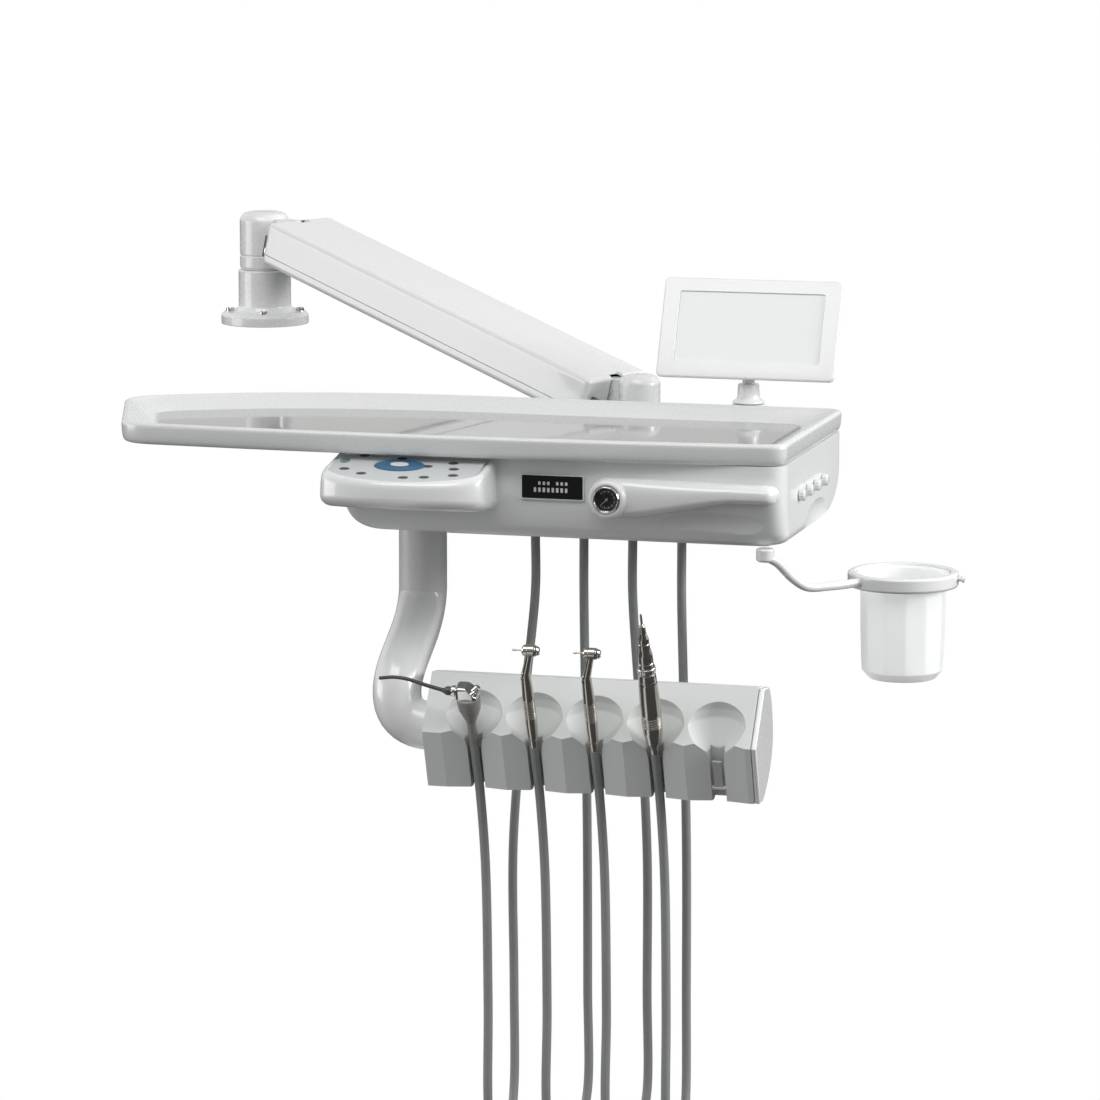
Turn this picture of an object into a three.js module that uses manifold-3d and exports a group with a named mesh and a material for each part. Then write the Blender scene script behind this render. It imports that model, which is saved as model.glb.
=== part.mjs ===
// A dentist's delivery head on its balance arm: tray, keypad, screen, cup holder and a
// bar of hose-fed instruments. Millimetres, +Z up. The origin is the centre of the
// underside of the flange that carries the arm.

import * as THREE from 'three';
import { mergeVertices } from 'three/addons/utils/BufferGeometryUtils.js';
import Module from 'manifold-3d';

const wasm = await Module();
wasm.setup();

// ---------------------------------------------------------------- driving dimensions

const GAP = 0.3; // clearance between touching pieces
const DEG = Math.PI / 180;

// Balance arm
const ARM_LENGTH = 520; // pin to pin
const ARM_YAW = -29 * DEG; // seen from above, from +X
const ARM_PITCH = 15 * DEG; // downwards, towards the head
const ARM_WIDTH = 94;
const ARM_HEIGHT = 50;
const COVER_WALL = 3;
const LINK_SPACING = 24; // height between the beam's pin and the tie rod's pin
const ROOT_OFFSET = 48; // swivel axis to pins, at the root
const FRONT_OFFSET = 40; // pins to swivel axis, at the head
const ROOT_PIN_HEIGHT = 100; // midway between the two pins
const BEAM_WIDTH = 74;
const BEAM_WALL = 4;
const TONGUE = 16;
const PIN_RADIUS = 6;
const TIE_PIN_RADIUS = 4;
const SPINDLE_RADIUS = 15;

// Head. Its own frame has x = 0 at the right end, y = 0 at the front edge and
// z = 0 on top of the tray's rim.
const HEAD_AXIS = new THREE.Vector3(-236, 348, 0);
const HEAD_PIN_Z = -7.3; // midway between the two front pins
const TRAY_DEPTH = 288;
const TRAY_HEIGHT = 22;
const DISH_DEPTH = 15;
const RIM_WIDTH = 9;
const DISH_SLOPE = 26;
const LINER = 1.5;
const HOUSING_LEFT = -461;
const HOUSING_RIGHT = -1;
const HOUSING_BOTTOM = -105;
const HOUSING_WALL = 3;
const GAUGE = new THREE.Vector3(-178, -16, -59);
const GAUGE_RADIUS = 14;
const DISPLAY = new THREE.Vector3(-238, 0.8, -51);
const DISPLAY_SIZE = [64, 24];
const POD_LEFT = -468;
const POD_RIGHT = -296;
const POD_DEPTH = 76;
const POD_TOP = -25;
const POD_TILT = 12.8 * DEG;
const FLOW_KNOBS = 4;
const FLOW_KNOB_PITCH = 36;

// Instrument holder
const SLOTS = 5;
const SLOT_PITCH = 63.2;
const FIRST_SLOT = -319;
const SLOT_TILT = 22 * DEG;
const SLOT_Y = -2;
const SLOT_Z = -320;
const SLOT_WIDTH = 15;
const HOLDER_LEFT = -371;
const HOLDER_RIGHT = -29;
const TUBE_RADIUS = 25;
const TUBE_X = -411;

// Hoses
const HOSES = 4;
const HOSE_RADIUS = 4.75;
const FIRST_GLAND = -294;
const GLAND_PITCH = 52;
const GLAND_Y = 140;
const GLAND_END = -122;
const HOSE_TAIL = 4; // where a hose meets its instrument, along the slot
const LOOP_RADIUS = 49.5;
const LOOP_MIDDLE = [95.5, -712.5]; // y and z at the middle of the round bottom of each loop
const REAR_SWAY = [0, 17, 18, -3]; // how far each rear leg hangs to the right of its front leg

// Cup holder and screen
const CUP_PIVOT = new THREE.Vector3(-22, 16, -105.6);
const CUP_CENTRE = new THREE.Vector3(92, 148, -145);
const CUP_RING_RADIUS = 56.5;
const CUP_RADIUS = 43;
const CUP_HEIGHT = 108;
const SCREEN_X = -106;
const SCREEN_Y = 301;
const SCREEN_SIZE = [192, 110];
const SCREEN_BEZEL = 5;
const SCREEN_BACK = 5.5;
const SCREEN_TILT = 24 * DEG;
const SCREEN_AXIS_Z = 34;

// ---------------------------------------------------------------- shape helpers

function toSolid(geometry) {
  const bare = new THREE.BufferGeometry();
  bare.setAttribute('position', geometry.getAttribute('position'));
  bare.setIndex(geometry.getIndex());
  const welded = mergeVertices(bare, 1e-4);
  const vertProperties = new Float32Array(welded.getAttribute('position').array);
  const triVerts = new Uint32Array(welded.getIndex().array);
  return new wasm.Manifold(new wasm.Mesh({ numProp: 3, vertProperties, triVerts }));
}

function toGeometry(solid) {
  const mesh = solid.getMesh();
  const geometry = new THREE.BufferGeometry();
  geometry.setAttribute('position', new THREE.BufferAttribute(mesh.vertProperties, 3));
  geometry.setIndex(new THREE.BufferAttribute(mesh.triVerts, 1));
  geometry.computeVertexNormals();
  return geometry;
}

function join(first, ...others) {
  return toGeometry(others.reduce((sum, other) => sum.add(toSolid(other)), toSolid(first)));
}

function cut(body, ...tools) {
  return toGeometry(tools.reduce((rest, tool) => rest.subtract(toSolid(tool)), toSolid(body)));
}

function common(a, b) {
  return toGeometry(toSolid(a).intersect(toSolid(b)));
}

function block(x0, x1, y0, y1, z0, z1) {
  const geometry = new THREE.BoxGeometry(x1 - x0, y1 - y0, z1 - z0);
  return geometry.translate((x0 + x1) / 2, (y0 + y1) / 2, (z0 + z1) / 2);
}

// A solid of revolution about +Z, from its [radius, height] corners, bottom first.
function turned(profile, sides = 16) {
  const points = profile.map(([radius, height]) => new THREE.Vector2(radius, height));
  return new THREE.LatheGeometry(points, sides).rotateX(Math.PI / 2);
}

function rod(radius, z0, z1, sides = 16) {
  return turned([[0, z0], [radius, z0], [radius, z1], [0, z1]], sides);
}

const alongX = (geometry) => geometry.rotateY(Math.PI / 2); // +Z to +X
const alongY = (geometry) => geometry.rotateX(-Math.PI / 2); // +Z to +Y

function outlineOf(points) {
  return new THREE.Shape(points.map(([u, v]) => new THREE.Vector2(u, v)));
}

function roundedRect(x0, x1, y0, y1, radius) {
  const shape = new THREE.Shape();
  shape.moveTo(x0 + radius, y0);
  shape.lineTo(x1 - radius, y0);
  shape.absarc(x1 - radius, y0 + radius, radius, -Math.PI / 2, 0);
  shape.lineTo(x1, y1 - radius);
  shape.absarc(x1 - radius, y1 - radius, radius, 0, Math.PI / 2);
  shape.lineTo(x0 + radius, y1);
  shape.absarc(x0 + radius, y1 - radius, radius, Math.PI / 2, Math.PI);
  shape.lineTo(x0, y0 + radius);
  shape.absarc(x0 + radius, y0 + radius, radius, Math.PI, 1.5 * Math.PI);
  return shape;
}

// A flat shape drawn from above and extruded upwards from z0 to z1.
function plate(shape, z0, z1, curveSegments = 4) {
  const geometry = new THREE.ExtrudeGeometry(shape, { depth: z1 - z0, bevelEnabled: false, curveSegments });
  return geometry.translate(0, 0, z0);
}

// A shape drawn from the front, in x and z, running from y0 back to y1.
function frontPlate(shape, y0, y1, curveSegments = 4) {
  return plate(shape, 0, y1 - y0, curveSegments).rotateX(Math.PI / 2).translate(0, y1, 0);
}

// A shape drawn from the right, in y and z, running from x0 to x1.
function sidePlate(shape, x0, x1, curveSegments = 4) {
  const basis = new THREE.Matrix4().makeBasis(
    new THREE.Vector3(0, 1, 0),
    new THREE.Vector3(0, 0, 1),
    new THREE.Vector3(1, 0, 0),
  );
  return plate(shape, 0, x1 - x0, curveSegments).applyMatrix4(basis).translate(x0, 0, 0);
}

function tubeAlong(curve, radius, steps, sides) {
  const section = new THREE.Shape();
  section.absarc(0, 0, radius, 0, 2 * Math.PI);
  return new THREE.ExtrudeGeometry(section, { steps, extrudePath: curve, curveSegments: sides });
}

// Joins two outlines with the same number of points, at two heights.
function loft(lower, z0, upper, z1) {
  const count = lower.length;
  const ring = (points, z) => points.flatMap((point) => [point.x, point.y, z]);
  const index = [];
  for (let i = 0; i < count; i += 1) {
    const next = (i + 1) % count;
    index.push(i, next, count + next, i, count + next, count + i);
  }
  for (const [a, b, c] of THREE.ShapeUtils.triangulateShape(lower, [])) {
    index.push(c, b, a, count + a, count + b, count + c);
  }
  const geometry = new THREE.BufferGeometry();
  const position = new Float32Array([...ring(lower, z0), ...ring(upper, z1)]);
  geometry.setAttribute('position', new THREE.BufferAttribute(position, 3));
  geometry.setIndex(index);
  return geometry;
}

// ---------------------------------------------------------------- materials and nodes

const LOOKS = {
  white: { color: 0xe9ebea, roughness: 0.3, metalness: 0 },
  shell: { color: 0xd9dcdb, roughness: 0.35, metalness: 0 },
  grey: { color: 0xb4b8b6, roughness: 0.5, metalness: 0 },
  liner: { color: 0x8f908c, roughness: 0.15, metalness: 0 },
  hose: { color: 0x8b8f8f, roughness: 0.6, metalness: 0 },
  black: { color: 0x111314, roughness: 0.3, metalness: 0 },
  overlay: { color: 0xcfd3d6, roughness: 0.4, metalness: 0 },
  blue: { color: 0x3f6f96, roughness: 0.4, metalness: 0 },
  steel: { color: 0x8e8982, roughness: 0.25, metalness: 1 },
  chrome: { color: 0xc9c9c9, roughness: 0.1, metalness: 1 },
  iron: { color: 0x6d7072, roughness: 0.5, metalness: 0.8 },
  cup: { color: 0xf2f4f5, roughness: 0.3, metalness: 0 },
  glass: { color: 0xe8ecee, roughness: 0.1, metalness: 0 },
  board: { color: 0x2f6b45, roughness: 0.6, metalness: 0 },
};

function piece(parent, name, look, geometry) {
  const mesh = new THREE.Mesh(geometry, new THREE.MeshStandardMaterial(LOOKS[look]));
  mesh.name = name;
  parent.add(mesh);
  return mesh;
}

function frameIn(parent, x, y, z) {
  const group = new THREE.Group();
  group.position.set(x, y, z);
  parent.add(group);
  return group;
}

// ---------------------------------------------------------------- balance arm

const PIN_BELOW = LINK_SPACING / 2;
const COVER_LIFT = PIN_BELOW * Math.cos(ARM_PITCH); // cover's middle above the beam's pins

// A swivelling knuckle: a domed post on a spindle, with a tongue that carries both pins.
function knuckle(radius, reach, postBottom, spindleBottom) {
  const top = PIN_BELOW + 16;
  const post = turned([
    [0, spindleBottom], [SPINDLE_RADIUS, spindleBottom], [SPINDLE_RADIUS, postBottom],
    [radius - 2, postBottom], [radius, postBottom + 2], [radius, top - 8], [radius - 4, top - 2],
    [radius - 10, top], [0, top],
  ], 20);
  const tongueShape = outlineOf([
    [0, -PIN_BELOW - 9], [reach + 4, -PIN_BELOW - 9], [reach + 9, -PIN_BELOW - 4], [reach + 9, PIN_BELOW + 4],
    [reach + 4, PIN_BELOW + 9], [0, PIN_BELOW + 9],
  ]);
  const tongue = frontPlate(tongueShape, -TONGUE / 2, TONGUE / 2);
  const lowerHole = alongY(rod(PIN_RADIUS + GAP, -20, 20)).translate(reach, 0, -PIN_BELOW);
  const upperHole = alongY(rod(TIE_PIN_RADIUS + GAP, -20, 20)).translate(reach, 0, PIN_BELOW);
  return cut(join(post, tongue), lowerHole, upperHole);
}

function rootFlange() {
  const top = ROOT_PIN_HEIGHT - PIN_BELOW - 26;
  const body = turned([[0, 0], [50, 0], [50, 10], [46, 14], [32, 14], [30, 18], [30, top], [0, top]], 24);
  return cut(body, rod(SPINDLE_RADIUS + GAP, 16, top + 1));
}

function armBeam() {
  const half = BEAM_WIDTH / 2;
  const outer = block(-10, ARM_LENGTH + 10, -half, half, -9, 16);
  const hollow = block(-20, ARM_LENGTH + 20, BEAM_WALL - half, half - BEAM_WALL, BEAM_WALL - 9, 20);
  const holes = [0, ARM_LENGTH].map((x) => alongY(rod(PIN_RADIUS + GAP, -50, 50)).translate(x, 0, 0));
  // The floor stops short of both knuckles, so that the tongues can swing.
  const notches = [block(-20, 34, BEAM_WALL - half, half - BEAM_WALL, -20, 0),
    block(ARM_LENGTH - 34, ARM_LENGTH + 20, BEAM_WALL - half, half - BEAM_WALL, -20, 0)];
  return cut(outer, hollow, ...holes, ...notches);
}

// One half of the arm's cover, between two heights, notched at both ends for the tongues.
function armCover(z0, z1) {
  const half = ARM_WIDTH / 2;
  const mid = COVER_LIFT;
  const skin = roundedRect(-half, half, mid - ARM_HEIGHT / 2, mid + ARM_HEIGHT / 2, 9);
  const inner = roundedRect(COVER_WALL - half, half - COVER_WALL, mid - ARM_HEIGHT / 2 + COVER_WALL,
    mid + ARM_HEIGHT / 2 - COVER_WALL, 6);
  const tube = cut(sidePlate(skin, 0, ARM_LENGTH), sidePlate(inner, -1, ARM_LENGTH + 1));
  const slice = block(-1, ARM_LENGTH + 1, -half - 1, half + 1, z0, z1);
  const notch = (x) => block(x - 30, x + 30, -TONGUE / 2 - 3, TONGUE / 2 + 3, -60, 80);
  return cut(common(tube, slice), notch(0), notch(ARM_LENGTH));
}

function tieRod() {
  const bar = block(0, ARM_LENGTH, 10, 20, -4, 4);
  const eyes = [0, ARM_LENGTH].map((x) => alongY(rod(8, 10, 20)).translate(x, 0, 0));
  const holes = [0, ARM_LENGTH].map((x) => alongY(rod(TIE_PIN_RADIUS + GAP, 0, 30)).translate(x, 0, 0));
  return cut(join(bar, ...eyes), ...holes);
}

const armPlane = new THREE.Group();
armPlane.rotation.z = ARM_YAW;
const rootPins = frameIn(armPlane, ROOT_OFFSET, 0, ROOT_PIN_HEIGHT);
const frontPins = frameIn(rootPins, ARM_LENGTH * Math.cos(ARM_PITCH), 0, -ARM_LENGTH * Math.sin(ARM_PITCH));
const beamFrame = frameIn(rootPins, 0, 0, -PIN_BELOW);
beamFrame.rotation.y = ARM_PITCH;
const tieFrame = frameIn(rootPins, 0, 0, PIN_BELOW);
tieFrame.rotation.y = ARM_PITCH;

function buildArm() {
  const postBottom = -PIN_BELOW - 25.7;
  const rootPost = knuckle(28, ROOT_OFFSET, postBottom, 17 - ROOT_PIN_HEIGHT);
  const frontPost = knuckle(22, FRONT_OFFSET, -PIN_BELOW - 12, -76);
  const pinLength = BEAM_WIDTH / 2 + 2;
  const mainPin = () => alongY(rod(PIN_RADIUS, -pinLength, pinLength));
  const tiePin = () => alongY(rod(TIE_PIN_RADIUS, -TONGUE / 2 - 2, 23));
  const seam = COVER_LIFT - ARM_HEIGHT / 2 + 12;
  const cylinderTurned = turned([
    [3.8, 150], [6, 150], [6, 158], [10, 160], [10, 330], [0, 330], [0, 205], [3.8, 205], [3.8, 150],
  ]);
  const pistonTurned = turned([[0, 44], [7, 44], [7, 58], [3.5, 60], [3.5, 175], [0, 175]], 12);
  piece(armPlane, 'root_flange', 'shell', rootFlange());
  piece(rootPins, 'root_knuckle', 'white', rootPost.translate(-ROOT_OFFSET, 0, 0));
  piece(rootPins, 'root_pin', 'steel', mainPin().translate(0, 0, -PIN_BELOW));
  piece(rootPins, 'tie_pin_rear', 'steel', tiePin().translate(0, 0, PIN_BELOW));
  piece(beamFrame, 'arm_beam', 'iron', armBeam());
  piece(beamFrame, 'arm_top_cover', 'white', armCover(seam + GAP, 60));
  piece(beamFrame, 'arm_bottom_cover', 'white', armCover(-60, seam));
  piece(tieFrame, 'tie_rod', 'iron', tieRod());
  piece(beamFrame, 'gas_spring_cylinder', 'black', alongX(cylinderTurned).translate(0, -20, 6));
  piece(beamFrame, 'gas_spring_rod', 'chrome', alongX(pistonTurned).translate(0, -20, 6));
  const frontTurned = frontPost.rotateZ(Math.PI).translate(FRONT_OFFSET, 0, 0);
  piece(frontPins, 'front_knuckle', 'white', frontTurned);
  piece(frontPins, 'front_pin', 'steel', mainPin().translate(0, 0, -PIN_BELOW));
  piece(frontPins, 'tie_pin_front', 'steel', tiePin().translate(0, 0, PIN_BELOW));
}

// ---------------------------------------------------------------- tray and housing

// The tray seen from above, with every edge moved inwards by the same distance. The two
// factors after each point say how that point moves as its edges do.
function trayOutline(distance = 0) {
  const at = (x, y, dx, dy) => [x + dx * distance, y + dy * distance];
  const shape = new THREE.Shape();
  shape.moveTo(...at(0, 18, -1, 1));
  shape.lineTo(...at(0, TRAY_DEPTH - 18, -1, -1));
  shape.quadraticCurveTo(...at(0, TRAY_DEPTH, -1, -1), ...at(-18, TRAY_DEPTH, -1, -1));
  shape.lineTo(...at(-380, TRAY_DEPTH, 0, -1));
  shape.bezierCurveTo(
    ...at(-520, TRAY_DEPTH, 0, -1),
    ...at(-620, 266, 0.5, -0.87),
    ...at(-722, 208, 0.84, -0.67),
  );
  shape.quadraticCurveTo(...at(-757, 188, 1.21, -0.46), ...at(-750, 158, 1.04, 0.04));
  shape.lineTo(...at(-701, 14, 0.83, 0.65));
  shape.quadraticCurveTo(...at(-692, -13, 0.73, 0.95), ...at(-662, -14, 0.47, 0.97));
  shape.quadraticCurveTo(...at(-340, -36, 0, 1), ...at(-20, 0, -1, 1));
  shape.quadraticCurveTo(...at(0, 2, -1, 1), ...at(0, 18, -1, 1));
  const points = shape.getPoints(8);
  points.pop();
  return THREE.ShapeUtils.isClockWise(points) ? points.reverse() : points;
}

function trayTop() {
  const slab = plate(new THREE.Shape(trayOutline()), -TRAY_HEIGHT, 0);
  const lip = trayOutline(RIM_WIDTH - DISH_SLOPE / DISH_DEPTH);
  return cut(slab, loft(trayOutline(RIM_WIDTH + DISH_SLOPE), -DISH_DEPTH, lip, 1));
}

function trayLiner() {
  const outline = trayOutline(RIM_WIDTH + DISH_SLOPE + 1);
  return plate(new THREE.Shape(outline), GAP - DISH_DEPTH, GAP + LINER - DISH_DEPTH);
}

// The housing's silhouette from the front; its lower left corner is well rounded.
function housingFront(wall, top) {
  const shape = new THREE.Shape();
  const left = HOUSING_LEFT + wall;
  const right = HOUSING_RIGHT - wall;
  const bottom = HOUSING_BOTTOM + wall;
  const cornerLeft = 30 - wall;
  const cornerRight = 13 - wall;
  shape.moveTo(left, top);
  shape.lineTo(left, bottom + cornerLeft);
  shape.absarc(left + cornerLeft, bottom + cornerLeft, cornerLeft, Math.PI, 1.5 * Math.PI);
  shape.lineTo(right - cornerRight, bottom);
  shape.absarc(right - cornerRight, bottom + cornerRight, cornerRight, 1.5 * Math.PI, 2 * Math.PI);
  shape.lineTo(right, top);
  return shape;
}

// Its silhouette from the side; the underside rises towards the back.
function housingSide(wall, top) {
  const shape = new THREE.Shape();
  const front = 2 + wall;
  const back = TRAY_DEPTH - 1 - wall;
  const bottom = HOUSING_BOTTOM + wall;
  const corner = 14 - wall;
  shape.moveTo(front, top);
  shape.lineTo(front, bottom + corner);
  shape.absarc(front + corner, bottom + corner, corner, Math.PI, 1.5 * Math.PI);
  shape.lineTo(190, bottom);
  shape.quadraticCurveTo(back - 10, bottom + 10, back, -62 + wall);
  shape.lineTo(back, top);
  return shape;
}

function gripBulge() {
  const shape = new THREE.Shape();
  const radius = GAUGE_RADIUS + 1;
  shape.moveTo(-16, -47);
  shape.quadraticCurveTo(-120, -41, GAUGE.x, GAUGE.z + radius);
  shape.absarc(GAUGE.x, GAUGE.z, radius, Math.PI / 2, 1.5 * Math.PI);
  shape.quadraticCurveTo(-130, -68, -16, -54);
  shape.absarc(-16, -50.5, 3.5, -Math.PI / 2, Math.PI / 2);
  const options = { depth: 14, bevelThickness: 7, bevelSize: 6, bevelSegments: 2, curveSegments: 4 };
  const geometry = new THREE.ExtrudeGeometry(shape, options);
  return geometry.rotateX(Math.PI / 2).translate(0, 5, 0);
}

function boss(x, y, radius, z0, z1) {
  return turned([[0, z0], [radius - 3, z0], [radius, z0 + 3], [radius, z1], [0, z1]]).translate(x, y, 0);
}

// The hole in the underside that the base cover closes: x from and to, y from and to.
const BASE_HOLE = [-360, -20, 24, 184];

function housing() {
  const top = -TRAY_HEIGHT - GAP;
  const outer = common(
    frontPlate(housingFront(0, top), 0, TRAY_DEPTH),
    sidePlate(housingSide(0, top), -500, 10),
  );
  const inner = common(
    frontPlate(housingFront(HOUSING_WALL, 0), 0, TRAY_DEPTH),
    sidePlate(housingSide(HOUSING_WALL, 0), -500, 10),
  );
  const headBoss = boss(HEAD_AXIS.x, HEAD_AXIS.y, 36, -92, -33);
  const bridge = block(HEAD_AXIS.x - 30, HEAD_AXIS.x + 30, TRAY_DEPTH - 3, HEAD_AXIS.y, -88, -36);
  const screenBoss = boss(SCREEN_X, SCREEN_Y, 20, -46, -GAP);
  const screenWeb = block(SCREEN_X - 18, SCREEN_X + 18, TRAY_DEPTH - 3, SCREEN_Y, -44, -TRAY_HEIGHT - 2);
  const shell = cut(outer, inner);
  const body = join(shell, headBoss, bridge, screenBoss, screenWeb, gripBulge());
  const [x0, x1, y0, y1] = BASE_HOLE;
  const w = DISPLAY_SIZE[0] / 2;
  const h = DISPLAY_SIZE[1] / 2;
  const scoop = new THREE.SphereGeometry(1, 14, 8).scale(6.8, 62, 22).translate(4, 158, -98);
  return cut(
    body,
    rod(SPINDLE_RADIUS + GAP, -86, 0).translate(HEAD_AXIS.x, HEAD_AXIS.y, 0),
    block(SCREEN_X - 40, SCREEN_X + 40, 200, TRAY_DEPTH + 0.5, -TRAY_HEIGHT - GAP, 10),
    block(x0, x1, y0, y1, HOUSING_BOTTOM - 5, HOUSING_BOTTOM + 5),
    block(DISPLAY.x - w, DISPLAY.x + w, -5, 10, DISPLAY.z - h, DISPLAY.z + h),
    alongY(rod(GAUGE_RADIUS + GAP, -40, 20)).translate(GAUGE.x, 0, GAUGE.z),
    block(POD_LEFT + 30, POD_RIGHT - 30, -5, 10, -66, -42),
    scoop,
    ...flowKnobPlaces().map((y) => alongX(rod(3 + GAP, -20, 20, 10)).translate(0, y, -60)),
  );
}

const flowKnobPlaces = () => Array.from({ length: FLOW_KNOBS }, (_, i) => 75 + i * FLOW_KNOB_PITCH);

function baseCover() {
  const [x0, x1, y0, y1] = BASE_HOLE;
  const bottom = HOUSING_BOTTOM;
  return block(x0 + GAP, x1 - GAP, y0 + GAP, y1 - GAP, bottom, bottom + HOUSING_WALL);
}

function flowKnob(y) {
  const profile = [[0, -12], [3, -12], [3, GAP], [6, GAP], [6, 5], [5, 7], [0, 7]];
  return alongX(turned(profile, 12)).translate(HOUSING_RIGHT, y, -60);
}

// ---------------------------------------------------------------- keypad pod

const POD_MIDDLE = (POD_LEFT + POD_RIGHT) / 2;
const PAD_CENTRE = [-8, -26]; // on the overlay, from its back edge's middle

function podPlan(wall, back) {
  const shape = new THREE.Shape();
  const left = POD_LEFT + wall;
  const right = POD_RIGHT - wall;
  const corner = 34;
  shape.moveTo(left, back);
  shape.lineTo(left, corner - POD_DEPTH + wall);
  shape.quadraticCurveTo(left, 12 - POD_DEPTH + wall, left + corner + 6, 6 - POD_DEPTH + wall);
  shape.quadraticCurveTo(POD_MIDDLE, wall - POD_DEPTH - 4, right - corner - 6, 6 - POD_DEPTH + wall);
  shape.quadraticCurveTo(right, 12 - POD_DEPTH + wall, right, corner - POD_DEPTH + wall);
  shape.lineTo(right, back);
  return shape;
}

function keypadPod() {
  const drop = POD_DEPTH * Math.tan(POD_TILT);
  const side = outlineOf([[1.6, POD_TOP], [1.6, POD_TOP - 52], [-POD_DEPTH - 5, POD_TOP - 43],
    [-POD_DEPTH - 5, POD_TOP - drop]]);
  const inner = outlineOf([[5, POD_TOP - 6], [5, POD_TOP - 48], [-POD_DEPTH - 5, POD_TOP - 40],
    [-POD_DEPTH - 5, POD_TOP - drop - 6]]);
  const outer = common(plate(podPlan(0, 1.6), -120, 0, 8), sidePlate(side, POD_LEFT - 5, POD_RIGHT + 5));
  const hollow = common(plate(podPlan(3, 5), -120, 0, 8), sidePlate(inner, POD_LEFT, POD_RIGHT));
  const pocket = plate(new THREE.Shape(overlayOutline(0)), -1.5, 5);
  const padPocket = padDisc(1, -3.2, 5);
  const onSlope = (geometry) => geometry.rotateX(POD_TILT).translate(POD_MIDDLE, 0, POD_TOP);
  return cut(outer, hollow, onSlope(pocket), onSlope(padPocket));
}

function overlayOutline(gap) {
  const half = (POD_RIGHT - POD_LEFT) / 2 - 9 - gap;
  const front = 9 - POD_DEPTH + gap;
  const back = -3 - gap;
  const shape = new THREE.Shape();
  shape.moveTo(-half, back);
  shape.lineTo(-half, front + 26);
  shape.quadraticCurveTo(-half, front + 6, 32 - half, front + 3);
  shape.quadraticCurveTo(0, front - 6, half - 32, front + 3);
  shape.quadraticCurveTo(half, front + 6, half, front + 26);
  shape.lineTo(half, back);
  return shape.getPoints(8);
}

function padDisc(gap, z0, z1) {
  const disc = turned([[0, z0], [1, z0], [1, z1], [0, z1]], 24);
  return disc.scale(26 + gap, 15 + gap, 1).translate(PAD_CENTRE[0], PAD_CENTRE[1], 0);
}

// ---------------------------------------------------------------- display and gauge

function displayModule() {
  const [width, height] = DISPLAY_SIZE;
  const w = width / 2 - GAP;
  const h = height / 2 - GAP;
  return block(DISPLAY.x - w, DISPLAY.x + w, DISPLAY.y, 24, DISPLAY.z - h, DISPLAY.z + h);
}

function buildGauge(head) {
  const front = GAUGE.y;
  const body = turned([[0, 3], [GAUGE_RADIUS - 1, 3], [GAUGE_RADIUS, 5], [GAUGE_RADIUS, 34], [0, 34]], 24);
  const well = rod(10.5, 0, 8, 24);
  const shell = cut(body, well);
  const frame = frameIn(head, GAUGE.x, front - 2, GAUGE.z);
  piece(frame, 'gauge_case', 'chrome', alongY(shell));
  const hand = join(block(-1, 8.2, -0.7, 0.7, -0.6, 0.4), rod(1.8, -0.6, 0.6, 12));
  piece(frame, 'gauge_needle', 'steel', alongY(hand.rotateZ(135 * DEG)).translate(0, 7, 0));
  piece(frame, 'gauge_lens', 'glass', alongY(rod(10.2, 3.6, 5.2, 24)));
}

// ---------------------------------------------------------------- instrument holder

// A frame on the axis of one slot: its +Z runs up the slot, towards the operator.
function slotFrame(parent, index) {
  const frame = frameIn(parent, FIRST_SLOT + index * SLOT_PITCH, SLOT_Y, SLOT_Z);
  frame.rotation.x = SLOT_TILT;
  return frame;
}

function holderSection() {
  const shape = new THREE.Shape();
  shape.moveTo(-15, -305);
  shape.lineTo(6, -365);
  shape.lineTo(20, -365);
  shape.quadraticCurveTo(62, -340, 64, -304);
  shape.quadraticCurveTo(62, -270, 46, -252);
  shape.lineTo(22, -249);
  return shape;
}

function holderBar() {
  const tools = [];
  const face = [[-30.6, -9.4], [-30.6, -40], [30.6, -40], [30.6, -9.4], [7, -3.6], [-7, -3.6]];
  for (let i = 0; i < SLOTS; i += 1) {
    const funnel = turned([[0, -4], [7.6, -4], [8.5, 4], [30, 27], [27, 62], [25, 130], [0, 130]]);
    const slot = block(-SLOT_WIDTH / 2, SLOT_WIDTH / 2, -60, 9, -70, 30);
    const facets = plate(outlineOf(face), -70, 60);
    const place = new THREE.Matrix4().makeRotationX(SLOT_TILT);
    place.setPosition(FIRST_SLOT + i * SLOT_PITCH, SLOT_Y, SLOT_Z);
    tools.push(funnel.applyMatrix4(place), slot.applyMatrix4(place), facets.applyMatrix4(place));
  }
  return cut(sidePlate(holderSection(), HOLDER_LEFT, HOLDER_RIGHT, 6), ...tools);
}

function supportTube() {
  const lower = new THREE.Vector3(HOLDER_LEFT - GAP, 27, -307);
  const curve = new THREE.CurvePath();
  const bendTop = new THREE.Vector3(TUBE_X, 125, -176);
  const bendLow = new THREE.Vector3(TUBE_X, 31, -270);
  curve.add(new THREE.LineCurve3(new THREE.Vector3(TUBE_X, 125, HOUSING_BOTTOM - GAP), bendTop));
  curve.add(new THREE.CubicBezierCurve3(
    bendTop,
    new THREE.Vector3(TUBE_X, 125, -226),
    new THREE.Vector3(TUBE_X, 43, -236),
    bendLow,
  ));
  curve.add(new THREE.CubicBezierCurve3(
    bendLow,
    new THREE.Vector3(TUBE_X, 25, -294),
    new THREE.Vector3(TUBE_X + 12, 27, -307),
    lower,
  ));
  return tubeAlong(curve, TUBE_RADIUS, 22, 7);
}

function valveLever() {
  const reach = SLOT_WIDTH / 2 - GAP;
  return join(block(-4.5, 4.5, -2, 1.5, -34, -2), alongX(rod(3, -reach, reach, 12)).translate(0, 0, -34));
}

// ---------------------------------------------------------------- hoses

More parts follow.
